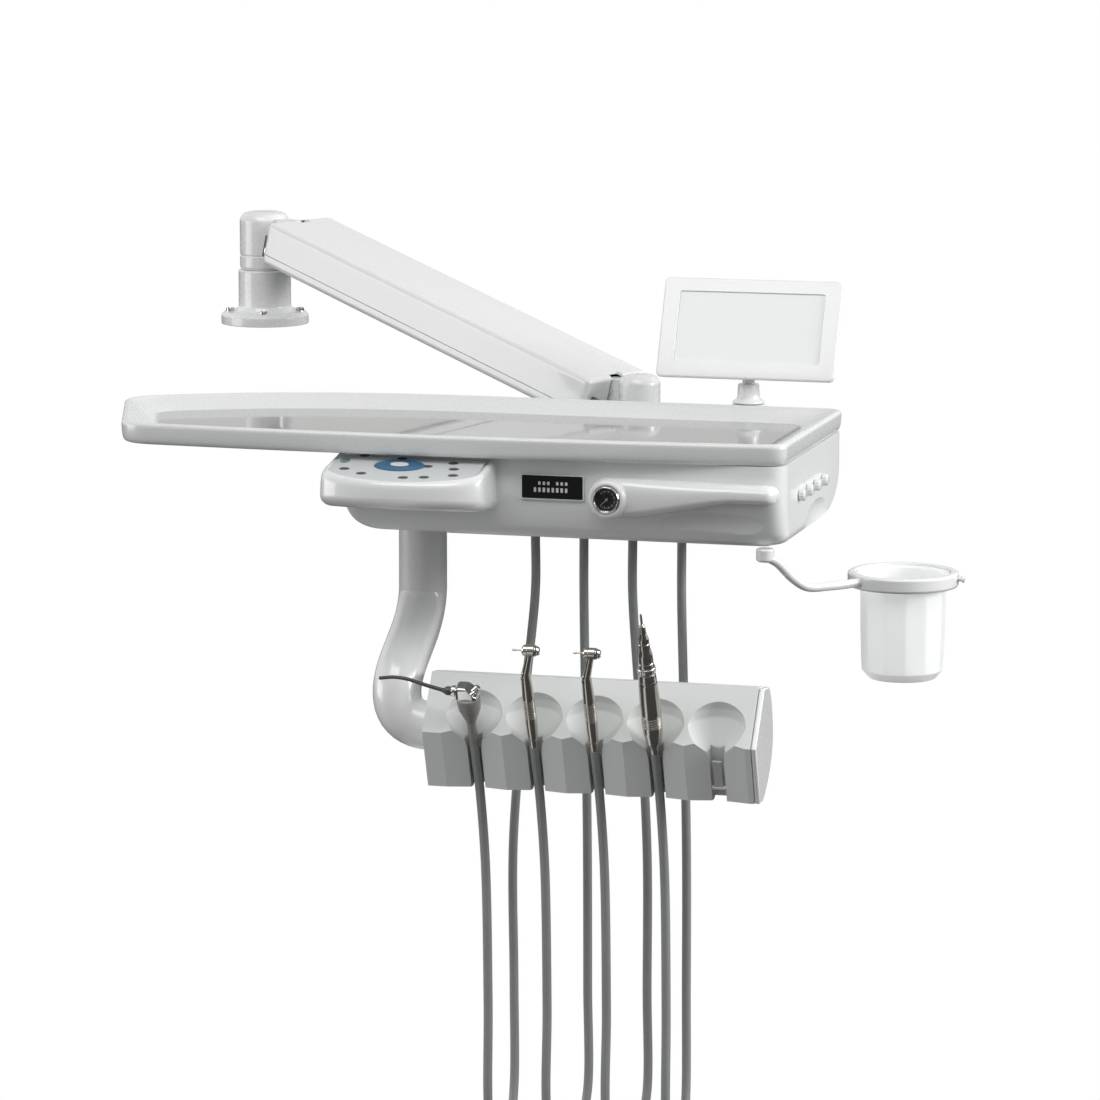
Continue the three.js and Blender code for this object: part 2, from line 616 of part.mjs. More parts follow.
function glandPlate() {
  const top = HOUSING_BOTTOM - GAP;
  const last = FIRST_GLAND + (HOSES - 1) * GLAND_PITCH;
  const base = plate(roundedRect(FIRST_GLAND - 18, last + 18, GLAND_Y - 16, GLAND_Y + 16, 12), top - 3, top);
  const nipple = [[0, GLAND_END], [6.2, GLAND_END], [7.5, GLAND_END + 4], [7.5, top - 1], [0, top - 1]];
  const nipples = Array.from({ length: HOSES }, (_, i) =>
    turned(nipple, 12).translate(FIRST_GLAND + i * GLAND_PITCH, GLAND_Y, 0));
  return join(base, ...nipples);
}

// From its gland, down and round a hanging loop, and up the slot to the instrument's tail.
function hose(index) {
  const gland = FIRST_GLAND + index * GLAND_PITCH;
  const slot = FIRST_SLOT + index * SLOT_PITCH;
  const rear = slot + REAR_SWAY[index];
  const [midY, midZ] = LOOP_MIDDLE;
  const onSlot = (s) =>
    new THREE.Vector3(slot, SLOT_Y - s * Math.sin(SLOT_TILT), SLOT_Z + s * Math.cos(SLOT_TILT));
  const round = [0, 45, 90, 135, 180].map((degrees) => new THREE.Vector3(
    rear + (slot - rear) * degrees / 180,
    midY + LOOP_RADIUS * Math.cos(degrees * DEG),
    midZ - LOOP_RADIUS * Math.sin(degrees * DEG),
  ));
  const curve = new THREE.CatmullRomCurve3([
    new THREE.Vector3(gland, GLAND_Y, GLAND_END - GAP),
    new THREE.Vector3(gland, GLAND_Y, -180),
    new THREE.Vector3((gland + rear) / 2, 141, -300),
    new THREE.Vector3(rear, 143, -450),
    new THREE.Vector3(rear, midY + LOOP_RADIUS, -600),
    ...round,
    new THREE.Vector3(slot, midY - LOOP_RADIUS, -600),
    new THREE.Vector3(slot, 37, -450),
    onSlot(-48),
    onSlot(-20),
    onSlot(HOSE_TAIL - GAP),
  ]);
  return tubeAlong(curve, HOSE_RADIUS, 40, 4);
}

// ---------------------------------------------------------------- instruments

function buildSyringe(head) {
  const frame = slotFrame(head, 0);
  const grip = turned([
    [0, 4], [4.8, 4], [5, 30], [6.5, 34], [11.5, 46], [12.5, 56], [12.5, 66], [10.5, 70], [0, 70],
  ]);
  const crown = block(-12, 11, -9, 9, 60, 74);
  const slope = block(-10, 30, -20, 20, 0, 30).rotateY(45 * DEG).translate(-2.5, 0, 76);
  const collar = alongX(rod(6, -17, -6)).translate(0, 0, 66);
  const thumb = (y) => rod(3.6 + GAP, -6, 6).rotateY(45 * DEG).translate(7.2, y, 66.3);
  const body = cut(join(grip, crown, collar), slope, thumb(-4.6), thumb(4.6));
  piece(frame, 'syringe_body', 'steel', body);
  const button = (y) => turned([[0, -3], [3.6, -3], [3.6, 3.6], [2.8, 4.6], [0, 4.6]])
    .rotateY(45 * DEG).translate(7.2, y, 66.3);
  piece(frame, 'syringe_air_button', 'chrome', button(-4.6));
  piece(frame, 'syringe_water_button', 'chrome', button(4.6));
  const curve = new THREE.CatmullRomCurve3([
    new THREE.Vector3(-24, 0, 66), new THREE.Vector3(-42, 0, 71), new THREE.Vector3(-62, 0, 77.5),
    new THREE.Vector3(-76, 0, 79), new THREE.Vector3(-92, 0, 77),
  ]);
  const nutTurned = turned([[0, -26], [2.6, -26], [4.6, -22], [4.6, -17.3], [0, -17.3]], 12);
  const nut = alongX(nutTurned).translate(0, 0, 66);
  piece(frame, 'syringe_nozzle', 'steel', join(tubeAlong(curve, 1.9, 14, 4), nut));
}

function buildTurbine(head, index, name) {
  const frame = slotFrame(head, index);
  const handle = turned([
    [0, 4], [4.6, 4], [5.2, 12], [6.2, 34], [6.2, 62], [5.5, 80], [4.6, 92], [0, 94],
  ], 12);
  const neck = turned([[0, -6], [4.6, -6], [3.7, 24], [0, 24]], 12).rotateY(15 * DEG).translate(0, 0, 90);
  const barrel = alongX(turned([[0, -6], [4.6, -6], [6, -4.4], [6, 7], [5.4, 8], [0, 8]]));
  piece(frame, `${name}_body`, 'steel', join(handle, neck, barrel.translate(6, 0, 119)));
  const cap = turned([[0, 8.9], [4.8, 8.9], [4.8, 10.2], [3.6, 11.2], [0, 11.2]]);
  piece(frame, `${name}_cap`, 'chrome', alongX(cap).translate(6, 0, 119));
  const bur = turned([[0, -17], [0.8, -16.6], [1, -14], [0.8, -12], [0.8, -6.3], [0, -6.3]], 10);
  piece(frame, `${name}_bur`, 'steel', alongX(bur).translate(6, 0, 119));
}

function buildMotor(head, index) {
  const frame = slotFrame(head, index);
  piece(frame, 'motor_body', 'steel', turned([
    [0, 4], [4.8, 4], [5.4, 10], [8, 18], [10.2, 32], [10.4, 68], [9.4, 88], [8.6, 100], [0, 100],
  ]));
  piece(frame, 'motor_ring', 'chrome', turned([
    [0, 100.3], [8.9, 100.3], [9.2, 101.5], [9.2, 106], [8.8, 107], [0, 107],
  ]));
  piece(frame, 'motor_nose', 'steel', turned([
    [0, 107.3], [8, 107.3], [7.6, 122], [6, 128], [5.6, 140], [3.6, 146], [3.2, 154], [1.3, 157],
    [1.3, 168], [0, 168],
  ]));
}

// ---------------------------------------------------------------- cup holder and screen

function cupArm() {
  const { x, y, z } = CUP_CENTRE;
  const start = CUP_PIVOT;
  const flat = new THREE.Vector2(x - start.x, y - start.y);
  const reach = flat.length() - CUP_RING_RADIUS + 4;
  const along = flat.normalize();
  const at = (t, height) => new THREE.Vector3(start.x + along.x * t, start.y + along.y * t, height);
  const curve = new THREE.CatmullRomCurve3([
    at(0, start.z - 9), at(14, start.z - 16), at(34, start.z - 34), at(52, z - 5), at(80, z - 7),
    at(reach, z - 7),
  ]);
  const bar = tubeAlong(curve, 4.5, 12, 4);
  const pivot = rod(9, start.z - 13, start.z).translate(start.x, start.y, 0);
  const ring = turned([
    [CUP_RADIUS + 2, z - 15], [CUP_RING_RADIUS - 2, z - 15], [CUP_RING_RADIUS, z - 13],
    [CUP_RING_RADIUS, z - 2], [CUP_RING_RADIUS - 2, z], [CUP_RADIUS + 6, z], [CUP_RADIUS + 6, z - 5],
    [CUP_RADIUS + 2, z - 5], [CUP_RADIUS + 2, z - 15],
  ], 24).translate(x, y, 0);
  const peg = rod(2.5, 0, 9, 10).rotateY(Math.PI / 2).translate(x + CUP_RING_RADIUS - 2, y, z - 6);
  return join(ring, bar, pivot, peg);
}

function cup() {
  const top = CUP_CENTRE.z - 2;
  const foot = top - CUP_HEIGHT;
  const outer = [[0, foot], [CUP_RADIUS - 13, foot], [CUP_RADIUS, foot + 13], [CUP_RADIUS + 0.8, top - 2.6],
    [CUP_RADIUS + 4.6, top - 2.6], [CUP_RADIUS + 4.6, top]];
  const inner = [[CUP_RADIUS - 1, top], [CUP_RADIUS - 2, foot + 14], [CUP_RADIUS - 14, foot + 2],
    [0, foot + 2]];
  return turned([...outer, ...inner], 24).translate(CUP_CENTRE.x, CUP_CENTRE.y, 0);
}

function buildScreen(head) {
  const stemTop = 21;
  const post = turned([[0, 0], [17, 0], [16, 3], [12.5, 9], [10, stemTop], [0, stemTop]]);
  piece(head, 'screen_stem', 'white', post.translate(SCREEN_X, SCREEN_Y, GAP));
  const axis = frameIn(head, SCREEN_X, SCREEN_Y, SCREEN_AXIS_Z);
  const barrel = 6.5;
  const neck = rod(barrel, stemTop + 2 * GAP - SCREEN_AXIS_Z, 0);
  const bore = alongX(rod(2 + GAP, -30, 30, 12));
  piece(axis, 'screen_hinge', 'white', cut(join(alongX(rod(barrel, -20, 20)), neck), bore));
  piece(axis, 'screen_pin', 'steel', alongX(rod(2, -26, 26, 12)));
  const tilted = frameIn(axis, 0, 0, 0);
  tilted.rotation.x = -SCREEN_TILT;
  const [width, height] = SCREEN_SIZE;
  const half = width / 2;
  const low = -14;
  const high = low + height;
  const middle = -barrel - GAP - SCREEN_BACK; // where the bezel meets the back shell
  const front = middle - SCREEN_BEZEL;
  const side = half - 18;
  const bottom = low + 18;
  const top = high - 15;
  const bezel = frontPlate(roundedRect(-half, half, low, high, 6), front, middle - GAP);
  piece(tilted, 'screen_frame', 'white', cut(bezel, block(-side, side, front - 1, middle, bottom, top)));
  const backOutline = roundedRect(2 - half, half - 2, low + 2, high - 2, 6);
  const back = frontPlate(backOutline, middle, middle + SCREEN_BACK);
  const room = block(6 - half, half - 6, middle - 1, middle + SCREEN_BACK - 2, low + 6, high - 6);
  const ear = (x) => join(block(x, x + 6, middle + 1, 0, -barrel, barrel), alongX(rod(barrel, x, x + 6)));
  const solidBack = cut(back, room);
  piece(tilted, 'screen_back', 'white', cut(join(solidBack, ear(20 + GAP), ear(-26 - GAP)), bore));
  const panel = block(GAP - side, side - GAP, front + 1.2, middle + 1, bottom + GAP, top - GAP);
  piece(tilted, 'screen_glass', 'glass', panel);
}

// ---------------------------------------------------------------- head

function buildHead(head) {
  piece(head, 'tray_top', 'white', trayTop());
  piece(head, 'tray_liner', 'liner', trayLiner());
  piece(head, 'housing', 'shell', housing());
  piece(head, 'base_cover', 'shell', baseCover());
  flowKnobPlaces().forEach((y, i) => piece(head, `flow_knob_${i + 1}`, 'white', flowKnob(y)));
  piece(head, 'keypad_pod', 'white', keypadPod());
  const slope = frameIn(head, POD_MIDDLE, 0, POD_TOP);
  slope.rotation.x = POD_TILT;
  const sheet = plate(new THREE.Shape(overlayOutline(GAP)), -1.2, 0);
  piece(slope, 'keypad_overlay', 'overlay', cut(sheet, padDisc(GAP, -2, 2)));
  piece(slope, 'keypad_pad', 'blue', padDisc(0, -1.4, 1.4));
  piece(head, 'display_module', 'black', displayModule());
  buildGauge(head);
  piece(head, 'control_board', 'board', block(-300, -150, 36, 120, -90, -88));
  piece(head, 'valve_block', 'iron', block(-120, -40, 60, 200, -92, -50));
  piece(head, 'support_tube', 'white', supportTube());
  piece(head, 'holder_bar', 'grey', holderBar());
  const capShape = holderSection();
  piece(head, 'holder_end_cap', 'white', sidePlate(capShape, HOLDER_RIGHT + GAP, HOLDER_RIGHT + 5, 6));
  piece(slotFrame(head, SLOTS - 1), 'valve_lever', 'grey', valveLever());
  piece(head, 'gland_plate', 'grey', glandPlate());
  for (let i = 0; i < HOSES; i += 1) piece(head, `hose_${i + 1}`, 'hose', hose(i));
  buildSyringe(head);
  buildTurbine(head, 1, 'turbine_1');
  buildTurbine(head, 2, 'turbine_2');
  buildMotor(head, 3);
  piece(head, 'cup_arm', 'white', cupArm());
  piece(head, 'cup', 'cup', cup());
  buildScreen(head);
}

const unit = new THREE.Group();
unit.add(armPlane);
buildArm();

// The head hangs level under the front knuckle, whatever way the arm points.
unit.updateMatrixWorld(true);
const headAxis = frontPins.localToWorld(new THREE.Vector3(FRONT_OFFSET, 0, 0));
const headOrigin = headAxis.sub(new THREE.Vector3(HEAD_AXIS.x, HEAD_AXIS.y, HEAD_PIN_Z));
const head = frameIn(unit, headOrigin.x, headOrigin.y, headOrigin.z);
buildHead(head);

export default unit;
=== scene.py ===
"""A dentist's delivery head on its balance arm, with its hoses and instruments.

Shapes are drawn in millimetres in the head's own frame (x = 0 at the tray's right end,
y = 0 at its front edge, z = 0 on its rim) or in the arm's frames, and placed in metres.
"""

from math import cos, pi, radians, sin, sqrt, tan

import bmesh
import bpy
from mathutils import Matrix, Vector


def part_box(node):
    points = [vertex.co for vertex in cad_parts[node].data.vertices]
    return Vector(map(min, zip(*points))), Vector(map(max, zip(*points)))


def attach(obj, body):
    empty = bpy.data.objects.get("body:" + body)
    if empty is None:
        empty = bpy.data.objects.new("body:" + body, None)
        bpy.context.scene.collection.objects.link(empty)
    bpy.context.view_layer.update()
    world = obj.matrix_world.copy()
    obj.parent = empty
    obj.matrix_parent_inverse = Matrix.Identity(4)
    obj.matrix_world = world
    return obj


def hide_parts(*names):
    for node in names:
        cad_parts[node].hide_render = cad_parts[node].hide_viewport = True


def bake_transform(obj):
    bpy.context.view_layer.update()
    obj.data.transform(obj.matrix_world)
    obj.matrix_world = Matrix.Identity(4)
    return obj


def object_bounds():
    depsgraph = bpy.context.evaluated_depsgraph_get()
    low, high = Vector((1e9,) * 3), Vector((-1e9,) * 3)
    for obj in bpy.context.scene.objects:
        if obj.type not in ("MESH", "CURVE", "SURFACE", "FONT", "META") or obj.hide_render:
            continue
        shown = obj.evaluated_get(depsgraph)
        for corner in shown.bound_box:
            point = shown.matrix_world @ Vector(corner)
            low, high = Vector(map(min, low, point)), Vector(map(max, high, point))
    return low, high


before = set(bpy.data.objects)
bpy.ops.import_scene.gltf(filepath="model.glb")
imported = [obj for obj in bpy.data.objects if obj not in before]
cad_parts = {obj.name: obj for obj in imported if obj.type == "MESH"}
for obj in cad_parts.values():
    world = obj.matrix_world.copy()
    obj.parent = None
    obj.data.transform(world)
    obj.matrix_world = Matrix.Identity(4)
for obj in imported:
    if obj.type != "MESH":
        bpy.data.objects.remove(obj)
cad_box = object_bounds()

MM = 0.001

# ---- driving dimensions

TRAY_DEPTH = 288
HOUSING_LEFT = -461
HOUSING_RIGHT = -1
HOUSING_BOTTOM = -105
POD_MIDDLE = -382
POD_HALF = 86
POD_DEPTH = 76
POD_TOP = -25
POD_TILT = radians(12.8)
GAUGE = (-178, -18, -59)
DISPLAY = (-238, 0.8, -51)
DISPLAY_HALF = (32, 12)
SLOTS = 5
SLOT_PITCH = 63.2
FIRST_SLOT = -319
SLOT_TILT = radians(22)
FACE_TILT = radians(19.3)
SLOT_Y = -2
SLOT_Z = -320
HOLDER_LEFT = -371
HOLDER_RIGHT = -29
TUBE_X = -411
TUBE_RADIUS = 25
HOSES = 4
HOSE_DIAMETER = 9.5
FIRST_GLAND = -294
GLAND_PITCH = 52
GLAND_Y = 140
GLAND_END = -122
LOOP_RADIUS = 49.5
LOOP_MIDDLE = (95.5, -712.5)
REAR_SWAY = (0, 17, 18, -3)
CUP_PIVOT = (-22, 16, -105.6)
CUP_CENTRE = (92, 148, -145)
CUP_RING_RADIUS = 56.5
CUP_RADIUS = 43
CUP_HEIGHT = 108
SCREEN_AXIS = (-106, 301, 34)
SCREEN_SIZE = (192, 110)
SCREEN_TILT = radians(24)
ARM_YAW = radians(-29)
ARM_PITCH = radians(15)
ARM_LENGTH = 520
ARM_WIDTH = 94
ARM_HEIGHT = 50
ROOT_OFFSET = 48
FRONT_OFFSET = 40
ROOT_PIN_HEIGHT = 100
PIN_BELOW = 12
HEAD_AXIS = (-236, 348)
CAMERA_PLACE = (1.83475, -5.46868, 0.67881)
CAMERA_YAW = radians(15.3)
CAMERA_PITCH = radians(9.3)
CAMERA_LENS = 165.3
PAD_MIDDLE = (-8, -26)
PAD_SIZE = (26, 15)
PAD_GAP = 0.6
COVER_WALL = 3
TUBE_Y = 125
FLUSH = HOUSING_BOTTOM - 0.3
SYRINGE_AXIS = 66
TURBINE_HEAD = (6, 0, 119)
FLOOR_SIZE = 60
FLOOR_DROP = 0.2


# ---- frames

def shift(x, y, z):
    return Matrix.Translation((x, y, z))


def turn(angle, axis):
    return Matrix.Rotation(angle, 4, axis)


tray_low, tray_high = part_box("tray_top")
origin = Vector((tray_high.x, tray_high.y - TRAY_DEPTH * MM, tray_high.z))
HEAD = Matrix.Translation(origin) @ Matrix.Scale(MM, 4)
ARM_PLANE = Matrix.Scale(MM, 4) @ turn(ARM_YAW, "Z")
ROOT_PINS = ARM_PLANE @ shift(ROOT_OFFSET, 0, ROOT_PIN_HEIGHT)
FRONT_PINS = ROOT_PINS @ shift(ARM_LENGTH * cos(ARM_PITCH), 0, -ARM_LENGTH * sin(ARM_PITCH))
BEAM = ROOT_PINS @ shift(0, 0, -PIN_BELOW) @ turn(ARM_PITCH, "Y")
POD = HEAD @ shift(POD_MIDDLE, 0, POD_TOP) @ turn(POD_TILT, "X")
SCREEN = HEAD @ shift(*SCREEN_AXIS) @ turn(-SCREEN_TILT, "X")
ALONG_X = turn(pi / 2, "Y")
ALONG_Y = turn(-pi / 2, "X")


def slot_x(index):
    return FIRST_SLOT + index * SLOT_PITCH


def slot_frame(index):
    return HEAD @ shift(slot_x(index), SLOT_Y, SLOT_Z) @ turn(SLOT_TILT, "X")


# ---- camera

def add_object(name, data, place=(0, 0, 0), view=None):
    """Links an object to the scene. A camera or a lamp looks along its view."""
    obj = bpy.data.objects.new(name, data)
    bpy.context.scene.collection.objects.link(obj)
    obj.location = place
    if view:
        obj.rotation_mode = "QUATERNION"
        obj.rotation_quaternion = view.to_track_quat("-Z", "Y")
    return obj


def make_camera():
    across = cos(CAMERA_PITCH)
    view = Vector((-sin(CAMERA_YAW) * across, cos(CAMERA_YAW) * across, -sin(CAMERA_PITCH)))
    camera = add_object("camera", bpy.data.cameras.new("camera"), CAMERA_PLACE, view)
    camera.data.sensor_width = 36
    camera.data.lens = CAMERA_LENS
    camera.data.clip_end = 200
    bpy.context.scene.camera = camera


make_camera()


# ---- materials

def put(tree, node, name, value):
    """Sets an input of a shader node to a value, or links another node's output to it."""
    socket = node.inputs[name]
    if isinstance(value, bpy.types.NodeSocket):
        tree.links.new(value, socket)
    else:
        socket.default_value = value


def add_node(tree, kind, **inputs):
    node = tree.nodes.new("ShaderNode" + kind)
    for name, value in inputs.items():
        put(tree, node, name.replace("_", " "), value)
    return node


def surface(name, colour, roughness, grain, relief, mottle, gloss=0.05, stretch=(1, 1, 1), coat=None, **more):
    """A shader whose colour, roughness and fine relief all vary over the surface."""
    material = bpy.data.materials.new(name)
    material.use_nodes = True
    tree = material.node_tree
    shader = tree.nodes["Principled BSDF"]
    where = add_node(tree, "TexCoord").outputs["Object"]
    spot = add_node(tree, "Mapping", Scale=stretch, Vector=where).outputs["Vector"]
    broad = add_node(tree, "TexNoise", Scale=9, Detail=2, Vector=spot).outputs["Fac"]
    fine = add_node(tree, "TexNoise", Scale=grain, Detail=3, Vector=spot).outputs["Fac"]
    tones = add_node(tree, "ValToRGB", Fac=broad)
    for stop, factor, place in zip(tones.color_ramp.elements, (1 - mottle, 1 + mottle), (0.35, 0.65)):
        stop.color = [min(1, c * factor) for c in colour] + [1]
        stop.position = place
    low, high = max(0.02, roughness - gloss), min(1, roughness + gloss)
    spread = add_node(tree, "MapRange", Value=fine, From_Min=0.3, From_Max=0.7, To_Min=low, To_Max=high)
    bump = add_node(tree, "Bump", Strength=relief, Distance=0.0004, Height=fine)
    more.update(Base_Color=tones.outputs["Color"], Roughness=spread.outputs["Result"],
                Normal=bump.outputs["Normal"])
    if coat:
        more.update(Coat_Weight=coat[0], Coat_Roughness=coat[1])
    for socket, value in more.items():
        put(tree, shader, socket.replace("_", " "), value)
    return material


# Each look has a name, colour and roughness, then its grain's scale, its relief's strength and its
# tone's spread. The looks from key_grey on are prints and trim.
LOOKS = {
    "white_shell": surface("white_abs", (0.86, 0.87, 0.865), 0.24, 700, 0.02, 0.006, coat=(0.7, 0.06)),
    "housing_shell": surface("housing_abs", (0.84, 0.855, 0.85), 0.33, 700, 0.04, 0.008, coat=(0.4, 0.06)),
    "holder_grey": surface("holder_abs", (0.76, 0.78, 0.77), 0.42, 1100, 0.1, 0.015),
    "enamel": surface("white_enamel", (0.84, 0.85, 0.845), 0.28, 260, 0.03, 0.006, coat=(0.6, 0.06)),
    "frame_metal": surface("primed_steel", (0.09, 0.095, 0.1), 0.5, 420, 0.15, 0.1),
    "aluminium": surface("milled_aluminium", (0.6, 0.61, 0.62), 0.38, 700, 0.1, 0.02, stretch=(1, 12, 1),
                         Metallic=1),
    "steel": surface("turned_steel", (0.6, 0.565, 0.52), 0.17, 900, 0.015, 0.04, stretch=(1, 1, 5),
                     Metallic=1),
    "chrome": surface("bright_chrome", (0.72, 0.72, 0.71), 0.09, 300, 0.01, 0.01, 0.03, Metallic=1),
    "liner_gloss": surface("tray_mat", (0.225, 0.22, 0.21), 0.09, 180, 0.015, 0.02, 0.03, coat=(0.8, 0.03)),
    "hose_rubber": surface("silicone_sleeve", (0.3, 0.315, 0.31), 0.36, 1400, 0.08, 0.04, coat=(0.2, 0.2)),
    "black_gloss": surface("black_window", (0.008, 0.0085, 0.009), 0.12, 400, 0.01, 0.1, 0.04,
                           coat=(0.8, 0.03)),
    "overlay_film": surface("membrane_film", (0.62, 0.645, 0.65), 0.45, 2600, 0.18, 0.012),
    "pad_blue": surface("blue_membrane", (0.055, 0.16, 0.29), 0.38, 1800, 0.1, 0.12),
    "lens_glass": surface("dial_glass", (0.95, 0.96, 0.96), 0.03, 700, 0.004, 0.005, 0.01,
                          Transmission_Weight=1),
    "display_panel": surface("display_glass", (0.86, 0.87, 0.865), 0.5, 300, 0.004, 0.012, 0.06,
                             Emission_Color=(0.9, 0.95, 1, 1), Emission_Strength=0.1),
    # The cup's emission is a painted glow: it stands in for light shining through the frosted wall.
    "cup_plastic": surface("frosted_cup_painted_glow", (0.86, 0.87, 0.87), 0.36, 900, 0.03, 0.008, coat=(0.2, 0.1),
                           Subsurface_Weight=0.5, Subsurface_Radius=(1, 1, 1), Subsurface_Scale=0.02,
                           Emission_Color=(1, 1, 1, 1), Emission_Strength=0.16),
    "board_green": surface("solder_mask", (0.02, 0.11, 0.045), 0.4, 300, 0.1, 0.15),
    "key_grey": surface("printed_grey", (0.085, 0.09, 0.085), 0.5, 1500, 0.1, 0.15),
    "key_green": surface("printed_green", (0.19, 0.27, 0.26), 0.5, 1500, 0.1, 0.12),
    "dial_black": surface("dial_face", (0.012, 0.012, 0.013), 0.4, 900, 0.06, 0.2),
    "dial_white": surface("dial_print", (0.75, 0.75, 0.73), 0.5, 900, 0.03, 0.03),
    "segment": surface("display_segment", (0.62, 0.62, 0.6), 0.4, 900, 0.02, 0.25),
    "tray_white": surface("tray_abs", (0.77, 0.785, 0.78), 0.27, 700, 0.02, 0.006, coat=(0.6, 0.06)),
    "lever_satin": surface("satin_lever", (0.6, 0.6, 0.58), 0.45, 900, 0.03, 0.04, Metallic=0.3),
    "sleeve": surface("syringe_sleeve", (0.33, 0.32, 0.295), 0.4, 1500, 0.06, 0.06),
    "grip_dark": surface("knurled_grip", (0.105, 0.105, 0.095), 0.42, 1600, 0.4, 0.15, Metallic=0.6),
}


# ---- shape helpers

def around(sides):
    return [2 * pi * i / sides for i in range(sides)]


def fillet(points, radius, closed=False, steps=4):
    """A polyline with its corners rounded. A third number on a point is its own radius."""
    out, count = [], len(points)
    for i, point in enumerate(points):
        own = point[2] if len(point) > 2 else radius
        here = Vector(point[:2])
        if own <= 0 or (not closed and i in (0, count - 1)):
            out.append(here)
            continue
        back = Vector(points[i - 1][:2]) - here
        ahead = Vector(points[(i + 1) % count][:2]) - here
        bend = back.angle(ahead)
        if bend > radians(177):
            out.append(here)
            continue
        reach = min(own / tan(bend / 2), back.length * 0.48, ahead.length * 0.48)
        a, b = here + back.normalized() * reach, here + ahead.normalized() * reach
        for k in range(steps + 1):
            t = k / steps
            out.append(a * (1 - t) ** 2 + here * 2 * t * (1 - t) + b * t ** 2)
    return out


def stack(rings, caps=True, wrap=False):
    """Side faces between rings with equal counts, and a face on each open end."""
    count, levels = len(rings[0]), len(rings)
    verts = [tuple(p) for ring in rings for p in ring]
    faces = []
    for k in range(levels if wrap else levels - 1):
        a, b = k * count, ((k + 1) % levels) * count
        faces += [(a + i, a + (i + 1) % count, b + (i + 1) % count, b + i) for i in range(count)]
    if caps and not wrap:
        faces.append(tuple(reversed(range(count))))
        faces.append(tuple(range((levels - 1) * count, levels * count)))
    return verts, faces


def lathe(profile, sides=48, radius=0.4, steps=3, closed=False, wave=None):
    """A solid of revolution about +Z. An open profile is led to the axis at both ends."""
    if not closed:
        axis = [[(0, p[1])] if p[0] else [] for p in (profile[0], profile[-1])]
        profile = axis[0] + profile + axis[1]
    points = fillet(profile, radius, closed, steps)
    rings = []
    for p in points if closed else points[1:-1]:
        reach = [p.x + (wave(a, p.y) if wave else 0) for a in around(sides)]
        rings.append([(r * cos(a), r * sin(a), p.y) for r, a in zip(reach, around(sides))])
    if closed:
        return stack(rings, wrap=True)
    verts, faces = stack(rings, caps=False)
    base, last = len(verts), (len(rings) - 1) * sides
    verts += [(0, 0, points[0].y), (0, 0, points[-1].y)]
    for i in range(sides):
        j = (i + 1) % sides
        faces += [(base, j, i), (base + 1, last + i, last + j)]
    return verts, faces


def smooth_path(points, step=3):
    """A centripetal Catmull-Rom curve through the points, with a point about every step."""
    points = [Vector(p) for p in points]
    points = [2 * points[0] - points[1]] + points + [2 * points[-1] - points[-2]]
    out = [points[1]]
    for i in range(1, len(points) - 2):
        p0, p1, p2, p3 = points[i - 1:i + 3]
        t1 = (p1 - p0).length ** 0.5
        t2 = t1 + (p2 - p1).length ** 0.5
        t3 = t2 + (p3 - p2).length ** 0.5
        pieces = max(1, round((p2 - p1).length / step))
        for k in range(1, pieces + 1):
            t = t1 + (t2 - t1) * k / pieces

            def mix(a, b, start, end):
                return a * ((end - t) / (end - start)) + b * ((t - start) / (end - start))

            a1, a2, a3 = mix(p0, p1, 0, t1), mix(p1, p2, t1, t2), mix(p2, p3, t2, t3)
            out.append(mix(mix(a1, a2, 0, t2), mix(a2, a3, t1, t3), t1, t2))
    return out


def sweep(path, size, sides=24, ends=1.0):
    """A round tube along a path, its ends rounded over. size is a radius, or a function of 0 to 1."""
    radius_at = size if callable(size) else lambda t: size
    count = len(path)
    lengths = [0]
    for a, b in zip(path, path[1:]):
        lengths.append(lengths[-1] + (b - a).length)
    tangents = [(path[min(i + 1, count - 1)] - path[max(i - 1, 0)]).normalized() for i in range(count)]
    side = tangents[0].orthogonal().normalized()
    rings = []
    for i, ahead in enumerate(tangents):
        side = (side - ahead * side.dot(ahead)).normalized()
        other = ahead.cross(side)
        radius = radius_at(lengths[i] / lengths[-1])
        levels = [(0, 0)]
        if i == 0:
            levels = [(0, ends), (ends * 0.3, ends * 0.3), (ends, 0)]
        if i == count - 1:
            levels = [(-ends, 0), (-ends * 0.3, ends * 0.3), (0, ends)]
        for along, less in levels:
            r, middle = radius - less, path[i] + ahead * along
            rings.append([middle + side * (r * cos(a)) + other * (r * sin(a)) for a in around(sides)])
    return stack(rings)


def inset(outline, distance):
    """A closed outline, anticlockwise, moved inwards along its normals."""
    out, count = [], len(outline)
    for i in range(count):
        back = (outline[i] - outline[i - 1]).normalized()
        ahead = (outline[(i + 1) % count] - outline[i]).normalized()
        middle = (back + ahead).normalized()
        normal = Vector((-middle.y, middle.x))
        out.append(outline[i] + normal * (distance / max(0.4, normal.dot(Vector((-back.y, back.x))))))
    return out


def plate(outline, z0, z1, edge=1.0, steps=3):
    """An outline extruded from z0 up to z1, with both edges rounded."""
    levels = []
    for k in range(steps + 1):
        angle = pi / 2 * k / steps
        levels.append((edge * (1 - sin(angle)), z0 + edge * (1 - cos(angle))))
    levels += [(distance, z1 + z0 - z) for distance, z in reversed(levels)]
    return stack([[(*p, z) for p in inset(outline, distance)] for distance, z in levels])


def oblong(x0, x1, y0, y1, radius, steps=6):
    return fillet([(x0, y0), (x1, y0), (x1, y1), (x0, y1)], radius, closed=True, steps=steps)


def ellipse(x, y, a, b, sides=40):
    return [Vector((x + a * cos(t), y + b * sin(t))) for t in around(sides)]


def moved(shape, matrix):
    verts, faces = shape
    return [tuple(matrix @ Vector(v)) for v in verts], faces


def joined(*shapes):
    verts, faces = [], []
    for more, loops in shapes:
        base = len(verts)
        verts += more
        faces += [tuple(base + i for i in loop) for loop in loops]
    return verts, faces


